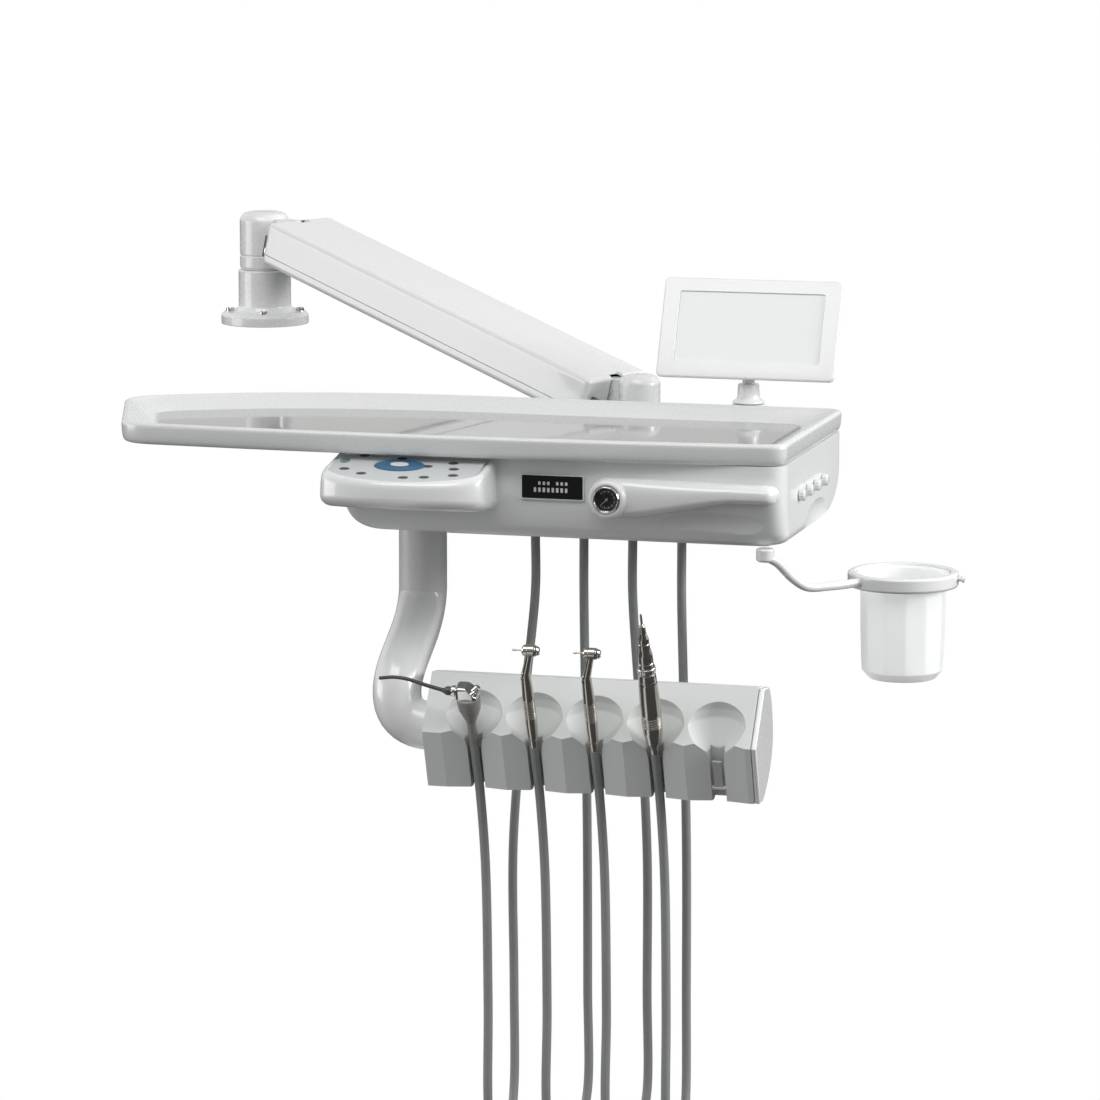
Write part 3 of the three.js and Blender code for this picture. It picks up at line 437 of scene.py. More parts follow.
def new_object(name, shape, place):
    mesh = bpy.data.meshes.new(name)
    verts, faces = shape
    mesh.from_pydata([tuple(place @ Vector(v)) for v in verts], [], faces)
    mesh.validate()
    outward = bmesh.new()
    outward.from_mesh(mesh)
    bmesh.ops.recalc_face_normals(outward, faces=outward.faces)
    outward.to_mesh(mesh)
    outward.free()
    return add_object(name, mesh)


def bake_modifiers(obj):
    depsgraph = bpy.context.evaluated_depsgraph_get()
    mesh = bpy.data.meshes.new_from_object(obj.evaluated_get(depsgraph))
    obj.modifiers.clear()
    obj.data = mesh


def modify(obj, name, kind, **settings):
    modifier = obj.modifiers.new(name, kind)
    for setting, value in settings.items():
        setattr(modifier, setting, value)


def carve(obj, place, *shapes):
    """Cuts closed shapes out of an object, one boolean each."""
    for shape in shapes:
        cutter = new_object("cutter", shape, place)
        modify(obj, "cut", "BOOLEAN", operation="DIFFERENCE", solver="MANIFOLD", object=cutter)
        bake_modifiers(obj)
        bpy.data.objects.remove(cutter)


def soften(obj, width, segments=2, limit=35):
    """Rounds the sharp edges by a width in millimetres."""
    modify(obj, "edges", "BEVEL", width=width * MM, segments=segments, limit_method="ANGLE",
           angle_limit=radians(limit))
    bake_modifiers(obj)


def dress(obj, look, limit):
    obj.data.materials.clear()
    obj.data.materials.append(LOOKS[look])
    obj.data.shade_smooth()
    obj.data.set_sharp_from_angle(angle=radians(limit))


def finish_piece(obj, look, body="head", node=None, limit=35):
    """Gives a piece its material, shading and body, and hides the node it stands for."""
    dress(obj, look, limit)
    modify(obj, "flat_faces", "WEIGHTED_NORMAL", keep_sharp=True)
    if body:
        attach(obj, body)
    if node:
        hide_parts(node)
    return obj


def piece(name, look, shape, place=HEAD, body="head", node=None, limit=35):
    return finish_piece(new_object(name, shape, place), look, body, node, limit)


# ---- hoses


def hose_route(index):
    """From the gland, down and round a hanging loop, and up the slot to the instrument's tail."""
    gland = FIRST_GLAND + index * GLAND_PITCH
    front = slot_x(index)
    rear = front + REAR_SWAY[index]
    middle_y, middle_z = LOOP_MIDDLE

    def on_slot(s):
        return front, SLOT_Y - s * sin(SLOT_TILT), SLOT_Z + s * cos(SLOT_TILT)

    loop = [(rear + (front - rear) * angle / 180, middle_y + LOOP_RADIUS * cos(radians(angle)),
             middle_z - LOOP_RADIUS * sin(radians(angle))) for angle in range(0, 181, 45)]
    points = [(gland, GLAND_Y, GLAND_END), (gland, GLAND_Y, -180), ((gland + rear) / 2, 141, -300),
              (rear, 143, -450), (rear, middle_y + LOOP_RADIUS, -600), *loop,
              (front, middle_y - LOOP_RADIUS, -600), (front, 37, -450), on_slot(-48), on_slot(-20),
              on_slot(4)]
    return smooth_path(points, 5)


def make_hose(index):
    path = hose_route(index)
    shape = sweep(path, HOSE_DIAMETER / 2, sides=20, ends=0.5)
    hose = piece(f"hose_{index + 1}_sleeve", "hose_rubber", shape, HEAD, None, f"hose_{index + 1}", limit=60)
    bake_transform(hose)


for number in range(HOSES):
    make_hose(number)


def gland_plate():
    last = FIRST_GLAND + (HOSES - 1) * GLAND_PITCH
    top = FLUSH
    outline = oblong(FIRST_GLAND - 18, last + 18, GLAND_Y - 16, GLAND_Y + 16, 12)
    shapes = [plate(outline, top - 3, top, 0.9)]
    for i in range(HOSES):
        relief = [(5.4, GLAND_END + 0.4), (6.1, GLAND_END + 2), (7.4, GLAND_END + 6), (7.5, top - 5),
                  (9, top - 3), (9, top - 1)]
        shapes.append(moved(lathe(relief, 32, 0.5), shift(FIRST_GLAND + i * GLAND_PITCH, GLAND_Y, 0)))
    piece("gland_plate_moulding", "holder_grey", joined(*shapes), node="gland_plate")


gland_plate()


# ---- more shape helpers

ACROSS = Matrix(((0, 0, 1, 0), (1, 0, 0, 0), (0, 1, 0, 0), (0, 0, 0, 1)))


def bezier(*controls, steps=8):
    """Points on a Bezier curve after its first one, up to its last."""
    out = []
    for k in range(1, steps + 1):
        level = [Vector(p) for p in controls]
        while len(level) > 1:
            level = [a.lerp(b, k / steps) for a, b in zip(level, level[1:])]
        out.append(level[0])
    return out


def front_plate(outline, y0, y1, edge=1.0):
    """An outline drawn in x and z, facing the operator, from y0 back to y1."""
    return moved(plate(outline, -y1, -y0, edge), turn(pi / 2, "X"))


def side_plate(outline, x0, x1, edge=1.0, steps=3):
    """An outline drawn in y and z, from x0 to x1."""
    return moved(plate(outline, x0, x1, edge, steps), ACROSS)


def block(x0, x1, y0, y1, z0, z1, edge=0.0):
    if edge == 0:
        corners = (x0, y0), (x1, y0), (x1, y1), (x0, y1)
        return stack([[(*p, z) for p in corners] for z in (z0, z1)])
    return plate(oblong(x0, x1, y0, y1, edge * 1.5, 4), z0, z1, edge)


# ---- balance arm

def make_flange():
    top = ROOT_PIN_HEIGHT - PIN_BELOW - 26
    profile = [(50, 0, 1), (50, 10, 2.5), (46, 14, 2), (33, 14, 4), (30, 20, 4), (30, top, 2), (16, top, 0.8),
               (16, top - 8, 0.5)]
    bolt = lathe([(4.6, 12), (4.6, 17.4), (3.2, 17.8), (2.4, 16)], 24, 0.5)
    bolts = [moved(bolt, turn(radians(45 + 90 * i), "Z") @ shift(40, 0, 0)) for i in range(4)]
    piece("root_flange_casting", "enamel", lathe(profile, 72), ARM_PLANE, "base", "root_flange")
    piece("root_flange_bolts", "steel", joined(*bolts), ARM_PLANE, "base")


def knuckle_shape(radius, reach, seat, foot):
    """A domed post from its seat up, on a spindle, with the tongue that carries both pins."""
    top = PIN_BELOW + 16
    post = lathe([(14.8, foot, 1), (14.8, seat, 0.5), (radius - 2, seat, 1), (radius, seat + 3, 2),
                  (radius, seat + 15, 0.6), (radius - 0.8, seat + 15.6, 0.4), (radius - 0.8, seat + 17, 0.4),
                  (radius, seat + 17.6, 0.6), (radius, top - 8, 8), (radius - 4, top - 2, 6),
                  (radius - 12, top, 6)], 72)
    high = PIN_BELOW + 9
    tongue = fillet([(0, -high), (reach + 9, -high), (reach + 9, high), (0, high)], 7, closed=True, steps=6)
    eyes = [moved(lathe([(r, -9), (r, 9)], 40, 0.8), shift(reach, 0, z) @ ALONG_Y)
            for r, z in ((9.5, -PIN_BELOW), (7.5, PIN_BELOW))]
    return joined(post, front_plate(tongue, -8, 8, 1.2), *eyes)


def rounded_cover(z0, z1, name, body):
    """One half of the arm's cover, between two heights, with rounded ends notched for the tongues."""
    middle = PIN_BELOW * cos(ARM_PITCH)
    half, tall, wall, end = ARM_WIDTH / 2, ARM_HEIGHT / 2, COVER_WALL, ARM_LENGTH
    outline = oblong(-half, half, middle - tall, middle + tall, 6.5, 7)
    inner = oblong(wall - half, half - wall, middle - tall + wall, middle + tall - wall, 6, 5)
    obj = new_object(name, side_plate(outline, 0, end, 6, 6), BEAM)
    cuts = [side_plate(inner, wall, end - wall, 5)]
    cuts += [block(-5, end + 5, -60, 60, low, high) for low, high in ((-70, z0), (z1, 90))]
    for x in (0, end):
        cuts.append(block(x - 12, x + 12, -9.5, 9.5, -60, 80, 2))
        cuts.append(block(x - 12, x + 12, -11.5, 26, 9, 32.5, 2))
    carve(obj, BEAM, *cuts)
    soften(obj, 0.8)
    finish_piece(obj, "white_shell", "arm", body)


def make_arm():
    root = knuckle_shape(28, ROOT_OFFSET, -PIN_BELOW - 25.7, 17 - ROOT_PIN_HEIGHT)
    front = knuckle_shape(22, FRONT_OFFSET, -PIN_BELOW - 12, -76)
    spring = BEAM @ shift(0, -20, 6) @ ALONG_X
    seam = PIN_BELOW * cos(ARM_PITCH) - ARM_HEIGHT / 2 + 12
    make_flange()
    piece("root_knuckle_casting", "enamel", root, ROOT_PINS @ shift(-ROOT_OFFSET, 0, 0), "arm_root",
          "root_knuckle")
    piece("front_knuckle_casting", "enamel", front, FRONT_PINS @ shift(FRONT_OFFSET, 0, 0) @ turn(pi, "Z"),
          "arm_front", "front_knuckle")
    rounded_cover(seam + 0.6, 60, "arm_cover_top", "arm_top_cover")
    rounded_cover(-60, seam - 0.2, "arm_cover_bottom", "arm_bottom_cover")
    cylinder = [(4, 326), (4, 150), (6, 150), (6.2, 158, 1), (10, 160, 1.5), (10, 330, 2)]
    piece("gas_spring_tube", "black_gloss", lathe(cylinder, 40), spring, "arm", "gas_spring_cylinder")
    rod = [(7, 44, 1.5), (7, 58, 1.5), (3.5, 60, 0.5), (3.5, 210)]
    piece("gas_spring_piston", "chrome", lathe(rod, 32), spring, "spring_rod", "gas_spring_rod")


make_arm()


# ---- tray

def tray_outline(distance):
    """The tray from above, every edge moved inwards. The last two factors say how a point moves."""
    depth = TRAY_DEPTH

    def at(x, y, dx, dy):
        return Vector((x + dx * distance, y + dy * distance))

    path = [at(0, 18, -1, 1), at(0, depth - 18, -1, -1)]
    path += bezier(path[-1], at(0, depth, -1, -1), at(-18, depth, -1, -1))
    path.append(at(-380, depth, 0, -1))
    path += bezier(path[-1], at(-520, depth, 0, -1), at(-620, 266, 0.5, -0.87), at(-722, 208, 0.84, -0.67),
                   steps=28)
    path += bezier(path[-1], at(-757, 188, 1.21, -0.46), at(-750, 158, 1.04, 0.04), steps=12)
    path.append(at(-701, 14, 0.83, 0.65))
    path += bezier(path[-1], at(-692, -13, 0.73, 0.95), at(-662, -14, 0.47, 0.97), steps=12)
    path += bezier(path[-1], at(-340, -36, 0, 1), at(-20, 0, -1, 1), steps=40)
    path += bezier(path[-1], at(0, 2, -1, 1), at(0, 18, -1, 1))[:-1]
    return path


def tray_rings(levels):
    return stack([[(*p, z) for p in tray_outline(d)] for d, z in levels])


def make_tray():
    shell = [(14, -22), (5.4, -22), (3.4, -21.2), (2, -19.4), (1.2, -17), (0.55, -13.5), (0.25, -9),
             (0.15, -5.6), (0.15, -4.2), (0.4, -2.8), (0.9, -1.6), (1.8, -0.7), (2.9, -0.2), (4.2, 0),
             (5.2, 0), (6.2, -0.25), (7.1, -0.8), (8, -1.7), (10, -3), (16, -5.6), (24, -9.4), (31, -13),
             (33.6, -14.2), (36, -14.6), (40, -14.7)]
    piece("tray_moulding", "tray_white", tray_rings(shell), node="tray_top", limit=50)
    mat = [(36, -14.6), (35.8, -13.9), (36.2, -13.3), (37, -13.1), (40, -13.1)]
    piece("tray_mat", "liner_gloss", tray_rings(mat), HEAD, "liner", "tray_liner", limit=50)


make_tray()


# ---- housing

def arc_inset(z, turn_z, radius):
    """How far a rounded lower corner has moved in at a height, where it starts at turn_z."""
    below = min(radius, max(0, turn_z - z))
    return radius - sqrt(radius * radius - below * below)


def housing_rings():
    low = HOUSING_BOTTOM
    back_curve = [Vector((190, low))] + bezier((190, low), (277, -95), (287, -62), steps=40)
    rings = []
    for z in (low, -104.8, -104.3, -103.4, -102, -100, -97.5, -95, -92.5, -89, -84, -79, -75, -70, -62, -50,
              -38, -28, -22.3):
        left = HOUSING_LEFT + arc_inset(z, low + 30, 30)
        right = HOUSING_RIGHT - arc_inset(z, low + 13, 13)
        front = 2 + 15 * max(0, (-52 - z) / 53) ** 2 + 0.6 * arc_inset(z, low + 14, 14)
        back = 287 if z >= -62 else next(p.x for p in back_curve if p.y >= z - 1e-6)
        corners = [(left, front, 16), (right, front, 24), (right, back, 24), (left, back, 30)]
        rings.append([(*p, z) for p in fillet(corners, 10, True, 10)])
    return stack(rings)


def grip_shape():
    """The long grip moulded to the right of the gauge: oval sections that taper to a round end."""
    def lobe(value):
        return abs(value) ** 0.72 * (1 if value > 0 else -1)

    rings = []
    for x in (-178, -172, -160, -145, -128, -110, -90, -70, -50, -34, -22, -15, -10.5, -8, -6.6, -6.1):
        t = (x + 178) / 172
        blend = t * t * (3 - 2 * t)
        top = -38.5 - 2.5 * blend
        low = -79.5 + 19.5 * min(1, blend * 1.25)
        reach = 11 + 6 * min(1, t * 2.2)
        end = 1 if x < -16 else sqrt(max(0.0, 1 - ((x + 16) / 10) ** 2))
        half, middle = (top - low) / 2, (top + low) / 2
        rings.append([(x, 4 - (reach + 2) * end * lobe(cos(a)),
                       middle + half * end * lobe(sin(a))) for a in around(40)])
    return stack(rings)


def make_housing():
    shell = new_object("housing_shell", housing_rings(), HEAD)
    scoop = lathe([(0, -1), (0.35, -0.935), (0.7, -0.71), (0.92, -0.39), (1, 0), (0.92, 0.39), (0.7, 0.71),
                   (0.35, 0.935), (0, 1)], 56, 0)
    for spot, size in (((6, 160, -97), (15, 62, 24)), ((-76, 3, -88), (66, 9, 19))):
        carve(shell, HEAD @ shift(*spot) @ Matrix.Diagonal((*size, 1)), scoop)
    carve(shell, HEAD, front_plate(oblong(-271.4, -204.6, -64.4, -37.6, 3), -6, 7, 0.2))
    soften(shell, 1.2, 3, 40)
    finish_piece(shell, "housing_shell", node="housing", limit=40)
    x, y = HEAD_AXIS
    boss = lathe([(33, -92, 2), (36, -89, 3), (36, -36, 3), (33, -33, 2), (16.2, -33, 1), (16.2, -37)], 64)
    bridge = block(x - 30, x + 30, 276, y, -88, -36, 3)
    stem = lathe([(17, -46, 2), (20, -43, 3), (20, -3.4, 3), (17, -0.6, 2)], 56)
    web = block(-124, -88, 276, 301, -44, -24, 3)
    piece("head_mount", "housing_shell", joined(moved(boss, shift(x, y, 0)), bridge))
    piece("screen_mount", "housing_shell", joined(moved(stem, shift(*SCREEN_AXIS[:2], 0)), web))
    piece("front_grip", "white_shell", grip_shape(), limit=60)
    x0, x1, y0, y1 = -359.7, -20.3, 24.3, 183.7
    cover = plate(oblong(x0, x1, y0, y1, 9), HOUSING_BOTTOM - 0.8, HOUSING_BOTTOM + 2, 0.8)
    piece("base_panel", "housing_shell", cover, node="base_cover")
    screw = lathe([(1.6, -106.2), (1.8, -106.8), (3.6, -106.6), (3.8, -105.6), (3.8, -104)], 24, 0.2)
    screws = [moved(screw, shift(x, y, 0)) for y in (y0 + 10, y1 - 10) for x in (x0 + 10, x1 - 10)]
    piece("base_screws", "steel", joined(*screws))
    knob = [(3, -4), (3, 0.5, 0.3), (5.6, 0.5, 0.5), (6, 1.4, 0.6), (5.8, 5, 0.8), (5, 7, 1.2)]

    def ribs(angle, z):
        return 0.22 * cos(12 * angle) if 1 < z < 6.2 else 0

    for i in range(4):
        place = HEAD @ shift(HOUSING_RIGHT, 75 + 36 * i, -60) @ ALONG_X
        piece(f"knob_{i + 1}", "white_shell", lathe(knob, 96, 0.5, wave=ribs), place, f"knob_{i + 1}",
              f"flow_knob_{i + 1}", limit=60)


make_housing()


# ---- gauge and display

def make_gauge():
    place = HEAD @ shift(*GAUGE) @ ALONG_Y
    collar = [(14.2, 24), (20.5, 22), (21, 12, 3), (19.4, 4.6, 3), (17, 2.2, 1.6), (15.2, 2, 0.8),
              (14.2, 3, 0.8)]
    piece("gauge_collar", "white_shell", lathe(collar, 72, 1, closed=True), place)
    ring = [(14, 3.2), (14, 1.6, 0.9), (12.9, 0.3, 0.7), (12.2, 0.3, 0.5), (11.4, 1.8, 0.6), (11, 3.4, 0.3),
            (11, 6), (14, 6)]
    piece("gauge_ring", "chrome", lathe(ring, 72, closed=True), place, node="gauge_case")
    piece("gauge_dial", "dial_black", lathe([(11.6, 4.6), (11.6, 6)], 56, 0.1), place)
    marks = []
    for k in range(28):
        inner, width = (8, 0.2) if k % 3 else (6.9, 0.34)
        mark = block(inner, 9.4, -width, width, 0, 0.1)
        marks.append(moved(mark, shift(0, 0, 4.5) @ turn(radians(135 - 10 * k), "Z")))
    piece("gauge_scale", "dial_white", joined(*marks), place)
    hand = block(-2.4, 7.4, -0.36, 0.36, 3.9, 4.1)
    hub = lathe([(1.3, 3.6), (1.3, 4.4)], 24, 0.2)
    piece("gauge_hand", "dial_white", moved(joined(hand, hub), turn(radians(135), "Z")), place, "needle",
          "gauge_needle")
    piece("gauge_window", "lens_glass", lathe([(0, 1.7), (11.3, 2.1), (11.3, 2.9), (0, 2.6)], 56, 0.1), place,
          node="gauge_lens")


def make_display():
    x, y, z = DISPLAY
    w, h = DISPLAY_HALF
    frame_edge = oblong(x - w - 1.2, x + w + 1.2, z - h - 1.2, z + h + 1.2, 2.4)
    piece("display_border", "white_shell", front_plate(frame_edge, y + 0.1, y + 5, 0.5))
    glass = oblong(x - w + 0.3, x + w - 0.3, z - h + 0.3, z + h - 0.3, 1.6)
    piece("display_window", "black_gloss", front_plate(glass, y - 0.3, y + 4, 0.35), node="display_module")
    bars = []
    for row, height, columns in ((0.16, 3.4, (1, 2, 3, 5, 6, 7)), (-0.12, 4.6, range(8))):
        for k in columns:
            left = x - w * 0.6 + k * w * 0.145
            low = z + row * 2 * h - height / 2
            bar = oblong(left, left + 2.6, low, low + height, 0.4, 2)
            bars.append(front_plate(bar, y - 0.36, y, 0.05))
    piece("display_segments", "segment", joined(*bars))


make_gauge()
make_display()


# ---- keypad pod

def pod_outline(distance):
    left, right = POD_MIDDLE - POD_HALF + distance, POD_MIDDLE + POD_HALF - distance
    back, front = 12, -POD_DEPTH + distance
    corner = 34
    path = [Vector((left, back)), Vector((left, front + corner))]
    lean = 10 * (corner + 6) / (POD_HALF - distance - corner - 6)
    path += bezier(path[-1], (left, front + 6 + lean), (left + corner + 6, front + 6), steps=16)
    path += bezier(path[-1], (POD_MIDDLE, front - 4), (right - corner - 6, front + 6), steps=24)
    path += bezier(path[-1], (right, front + 6 + lean), (right, front + corner), steps=16)
    path.append(Vector((right, back)))
    return path


def film_outline(distance):
    half, front, back = POD_HALF - 9 - distance, 9 - POD_DEPTH + distance, -2.6 - distance
    path = [Vector((-half, back)), Vector((-half, front + 26))]
    path += bezier(path[-1], (-half, front + 6), (32 - half, front + 3), steps=10)
    path += bezier(path[-1], (0, front - 6), (half - 32, front + 3), steps=16)
    path += bezier(path[-1], (half, front + 6), (half, front + 26), steps=10)
    path.append(Vector((half, back)))
    return fillet([(p.x, p.y, 3 if abs(p.y - back) < 0.01 else 0) for p in path], 0, True, 3)


def make_pod():
    rings = []
    levels = [(16, 0, 0)]
    levels += [(9 * (1 - sin(a)), 0, 11 * (1 - cos(a))) for a in (radians(10 * k) for k in range(10))]
    levels += [(0.15, 0.4, 0), (0.4, 0.6, 0), (0.9, 0.78, 0), (1.3, 1, -4.6), (2, 1, -2.8), (2.9, 1, -1.4),
               (4, 1, -0.5), (5, 1, 0), (6, 1, 0), (6.9, 1, -0.35), (7.6, 1, -1.1), (8.6, 1, -1.3)]
    for distance, part, lift in levels:
        rings.append([])
        for p in pod_outline(distance):
            low = POD_TOP - 51.8 - 0.11 * p.y
            high = POD_TOP + min(p.y, 1.6) * tan(POD_TILT)
            rings[-1].append((*p, low + (high - low) * part + lift))
    shell = new_object("keypad_shell", stack(rings), HEAD)
    pocket = ellipse(*PAD_MIDDLE, PAD_SIZE[0] + PAD_GAP, PAD_SIZE[1] + PAD_GAP)
    carve(shell, POD, plate(pocket, -4, 3, 0))
    finish_piece(shell, "white_shell", node="keypad_pod", limit=60)
    film = new_object("keypad_film", plate(film_outline(0), -1.25, -0.45, 0.3), POD)
    carve(film, POD, plate(pocket, -3, 3, 0))
    finish_piece(film, "overlay_film", node="keypad_overlay")
    disc = [(0.96, -1.4), (0.985, -0.6), (1, -0.1), (0.985, 0.35), (0.93, 0.7), (0.8, 0.95), (0.55, 1.05),
            (0.3, 0.9)]
    rings = [[(*p, z) for p in ellipse(*PAD_MIDDLE, PAD_SIZE[0] * r, PAD_SIZE[1] * r, 64)] for r, z in disc]
    piece("keypad_rocker", "pad_blue", stack(rings), POD, "rocker", "keypad_pad", limit=60)
    piece("rocker_centre", "dial_white", plate(ellipse(*PAD_MIDDLE, 9.6, 5.4), 0.8, 1.45, 0.3), POD, "rocker")
    keys = [(-62, -40), (-41, -51), (-52, -2), (-11, -6), (5, -58), (26, -55), (21, -25), (45, -14),
            (50, -30), (54, -47)]
    dots = [plate(ellipse(x, y, 5.4, 3.7, 28), -0.6, -0.3, 0.1) for x, y in keys]
    piece("keypad_keys", "key_grey", joined(*dots), POD)
    piece("keypad_green_key", "key_green", plate(ellipse(-68, -18, 5.2, 6.4, 32), -0.6, -0.3, 0.1), POD)


make_pod()


# ---- support tube and holder

def make_tube():
    def at(y, z):
        return Vector((TUBE_X, y, z))

    path = [at(TUBE_Y, z) for z in (FLUSH, -130, -155)]
    path += bezier(at(TUBE_Y, -176), at(TUBE_Y, -226), at(43, -236), at(31, -270), steps=22)
    path += bezier(path[-1], at(25, -294), (TUBE_X + 12, 27, -307), (HOLDER_LEFT - 0.5, 27, -307), steps=12)
    collar = lathe([(27, -106.2, 1), (28, -108.5, 1.2), (27, -111, 1.2), (25, -111.5, 0.5)], 72)
    shape = joined(sweep(path, TUBE_RADIUS, 72, ends=1.2), moved(collar, shift(TUBE_X, TUBE_Y, 0)))
    piece("support_arm", "white_shell", shape, node="support_tube", limit=60)


def holder_section():
    section = [Vector(p) for p in ((-15, -305), (6, -365), (20, -365))]
    section += bezier(section[-1], (62, -340), (64, -304), steps=12)
    section += bezier(section[-1], (62, -270), (46, -252), steps=10)
    section.append(Vector((22, -249)))
    return section


def make_holder():
    solid = side_plate(holder_section(), HOLDER_LEFT, HOLDER_RIGHT, 0.5)
    bar = new_object("holder_bar_moulding", solid, HEAD)
    for i in range(SLOTS):
        place = slot_frame(i)
        funnel = lathe([(7.6, -4), (8.5, 4, 3), (9.4, 9.5, 4), (32, 31, 6), (34.6, 39, 8), (34, 130)], 72)
        throat = block(-7.5, 7.5, -60, 9, -70, 30)
        carve(bar, place, funnel, throat)
        # Two facets meet in a ridge halfway to the next slot, parallel to the bar's front face.
        half = SLOT_PITCH / 2
        face = (-half, -7.3), (-half, -40), (half, -40), (half, -7.3), (7, -1.6), (-7, -1.6)
        upright = HEAD @ shift(slot_x(i), SLOT_Y, SLOT_Z) @ turn(FACE_TILT, "X")
        carve(bar, upright, stack([[(*p, z) for p in face] for z in (-75, 60)]))
    soften(bar, 0.9, 2, 28)
    finish_piece(bar, "holder_grey", node="holder_bar", limit=32)
    cap = side_plate(inset(holder_section(), 0.2), HOLDER_RIGHT + 0.3, HOLDER_RIGHT + 6, 2.2, 5)
    piece("holder_cap", "white_shell", cap, node="holder_end_cap")
    axle = moved(lathe([(2.2, 0), (2.2, 12)], 20), shift(-6, 9, -40) @ ALONG_X)
    for i in range(SLOTS - 1):
        paddle = joined(block(-4.5, 4.5, 8.2, 9.6, -38, -6, 0.6), axle)
        piece(f"hidden_lever_{i + 1}", "lever_satin", paddle, slot_frame(i))


make_tube()
make_holder()


# ---- instruments

def grooves(z0, z1, radius, depth=0.35, pitch=1.8):
    """Profile points for a ringed grip between two heights."""
    out, z = [], z0
    while z + pitch <= z1:
        out += [(radius, z, 0.15), (radius, z + pitch * 0.45, 0.25), (radius - depth, z + pitch * 0.6, 0.15),
                (radius - depth, z + pitch * 0.9, 0.25)]
        z += pitch
    return out


def make_syringe():
    place = slot_frame(0)
    grip = [(4.6, 4, 0.6), (4.9, 12), (5, 30, 8), (6.5, 34, 3), (11.3, 46, 6), (12.4, 56, 5), (12.4, 60, 1)]
    piece("syringe_sleeve", "sleeve", lathe(grip, 64), place, "syringe")
    crown = new_object("syringe_crown", block(-12, 11, -9, 9, 58, 74, 3.4), place)
    slope = moved(block(-10, 30, -20, 20, 0, 30), shift(-2.5, 0, 76) @ turn(radians(45), "Y"))
    carve(crown, place, slope)
    soften(crown, 1.4, 3, 30)
    finish_piece(crown, "chrome", "syringe", "syringe_body")
    collar = [(4.6, -17, 0.6), (6, -15.6, 0.8), (6, -12.4, 0.6), (5.4, -12, 0.3), (5.4, -10.8, 0.3),
              (6, -10.4, 0.4), (6.3, -6)]
    piece("syringe_collar", "chrome", lathe(collar), place @ shift(0, 0, SYRINGE_AXIS) @ ALONG_X, "syringe")
    for name, y in (("air", -4.6), ("water", 4.6)):
        button = lathe([(3.6, -3), (3.6, 3.4, 0.8), (2.8, 4.6, 0.8), (1.4, 4.2, 1), (0, 4.1)], 40)
        piece(f"syringe_{name}_key", "chrome", button, place @ shift(7.2, y, 66.3) @ turn(radians(45), "Y"),
              f"{name}_button", f"syringe_{name}_button")
    path = smooth_path([(-24, 0, SYRINGE_AXIS), (-42, 0, 71), (-62, 0, 77.5), (-76, 0, 79), (-92, 0, 77)],
                       1.5)
    nut = lathe([(2.4, -26, 0.5), (2.8, -24.4, 0.5), (4.4, -22.2, 0.6), (4.6, -17.3, 0.4)], 36,
                wave=lambda angle, z: 0.16 * cos(14 * angle) if z > -22.5 else 0)
    tube = sweep(path, lambda t: 2.1 - 0.35 * t, 28, ends=0.6)
    piece("syringe_tip", "grip_dark", joined(tube, moved(nut, shift(0, 0, SYRINGE_AXIS) @ ALONG_X)), place,
          "nozzle", "syringe_nozzle")


def make_turbine(index):
    name = f"turbine_{index}"
    place = slot_frame(index)
    sleeve = [(4.4, 4, 0.5), (4.6, 6, 0.3), (5.2, 12, 1), (5.3, 14, 0.3), (5, 14.6, 0.2), (5, 15.6, 0.2),
              (5.4, 16.2, 0.3), (6.1, 32, 6), (6.2, 38)]
    taper = [(6.2, 62), (5.5, 80, 12), (4.7, 91, 6), (3.8, 94, 1.5)]
    head = place @ shift(*TURBINE_HEAD) @ ALONG_X
    neck = lathe([(4.6, -6, 1), (4.2, 6, 6), (3.6, 20, 4), (3.7, 26)])
    barrel = [(3, -6, 0.4), (4.6, -5.9, 0.6), (5.9, -4.2, 1), (6, -1, 0.3), (5.8, -0.7, 0.1), (6, -0.4, 0.3),
              (6, 6.2, 0.4), (5.5, 7.9, 0.8)]
    shape = joined(lathe(sleeve + grooves(39, 61, 6.2, 0.3) + taper, 64),
                   moved(neck, shift(0, 0, 90) @ turn(radians(15), "Y")),
                   moved(lathe(barrel, 64), shift(*TURBINE_HEAD) @ ALONG_X))
    piece(f"{name}_handpiece", "steel", shape, place, name, f"{name}_body")
    cap = lathe([(4.8, 8.9, 0.4), (4.8, 10.2, 0.7), (3.6, 11.2, 0.7), (2.6, 11.2, 0.3), (2, 10.8, 0.4)])
    piece(f"{name}_push_cap", "chrome", cap, head, f"cap_{index}", f"{name}_cap")
    bur = lathe([(0, -17.2), (0.5, -17.1, 0.3), (1.05, -16, 0.5), (0.95, -13.6, 0.4), (0.6, -12.8, 0.3),
                 (0.8, -11, 0.3), (0.8, -6.3)], 24, 0.1)
    piece(f"{name}_drill", "steel", bur, head, f"bur_{index}", f"{name}_bur")


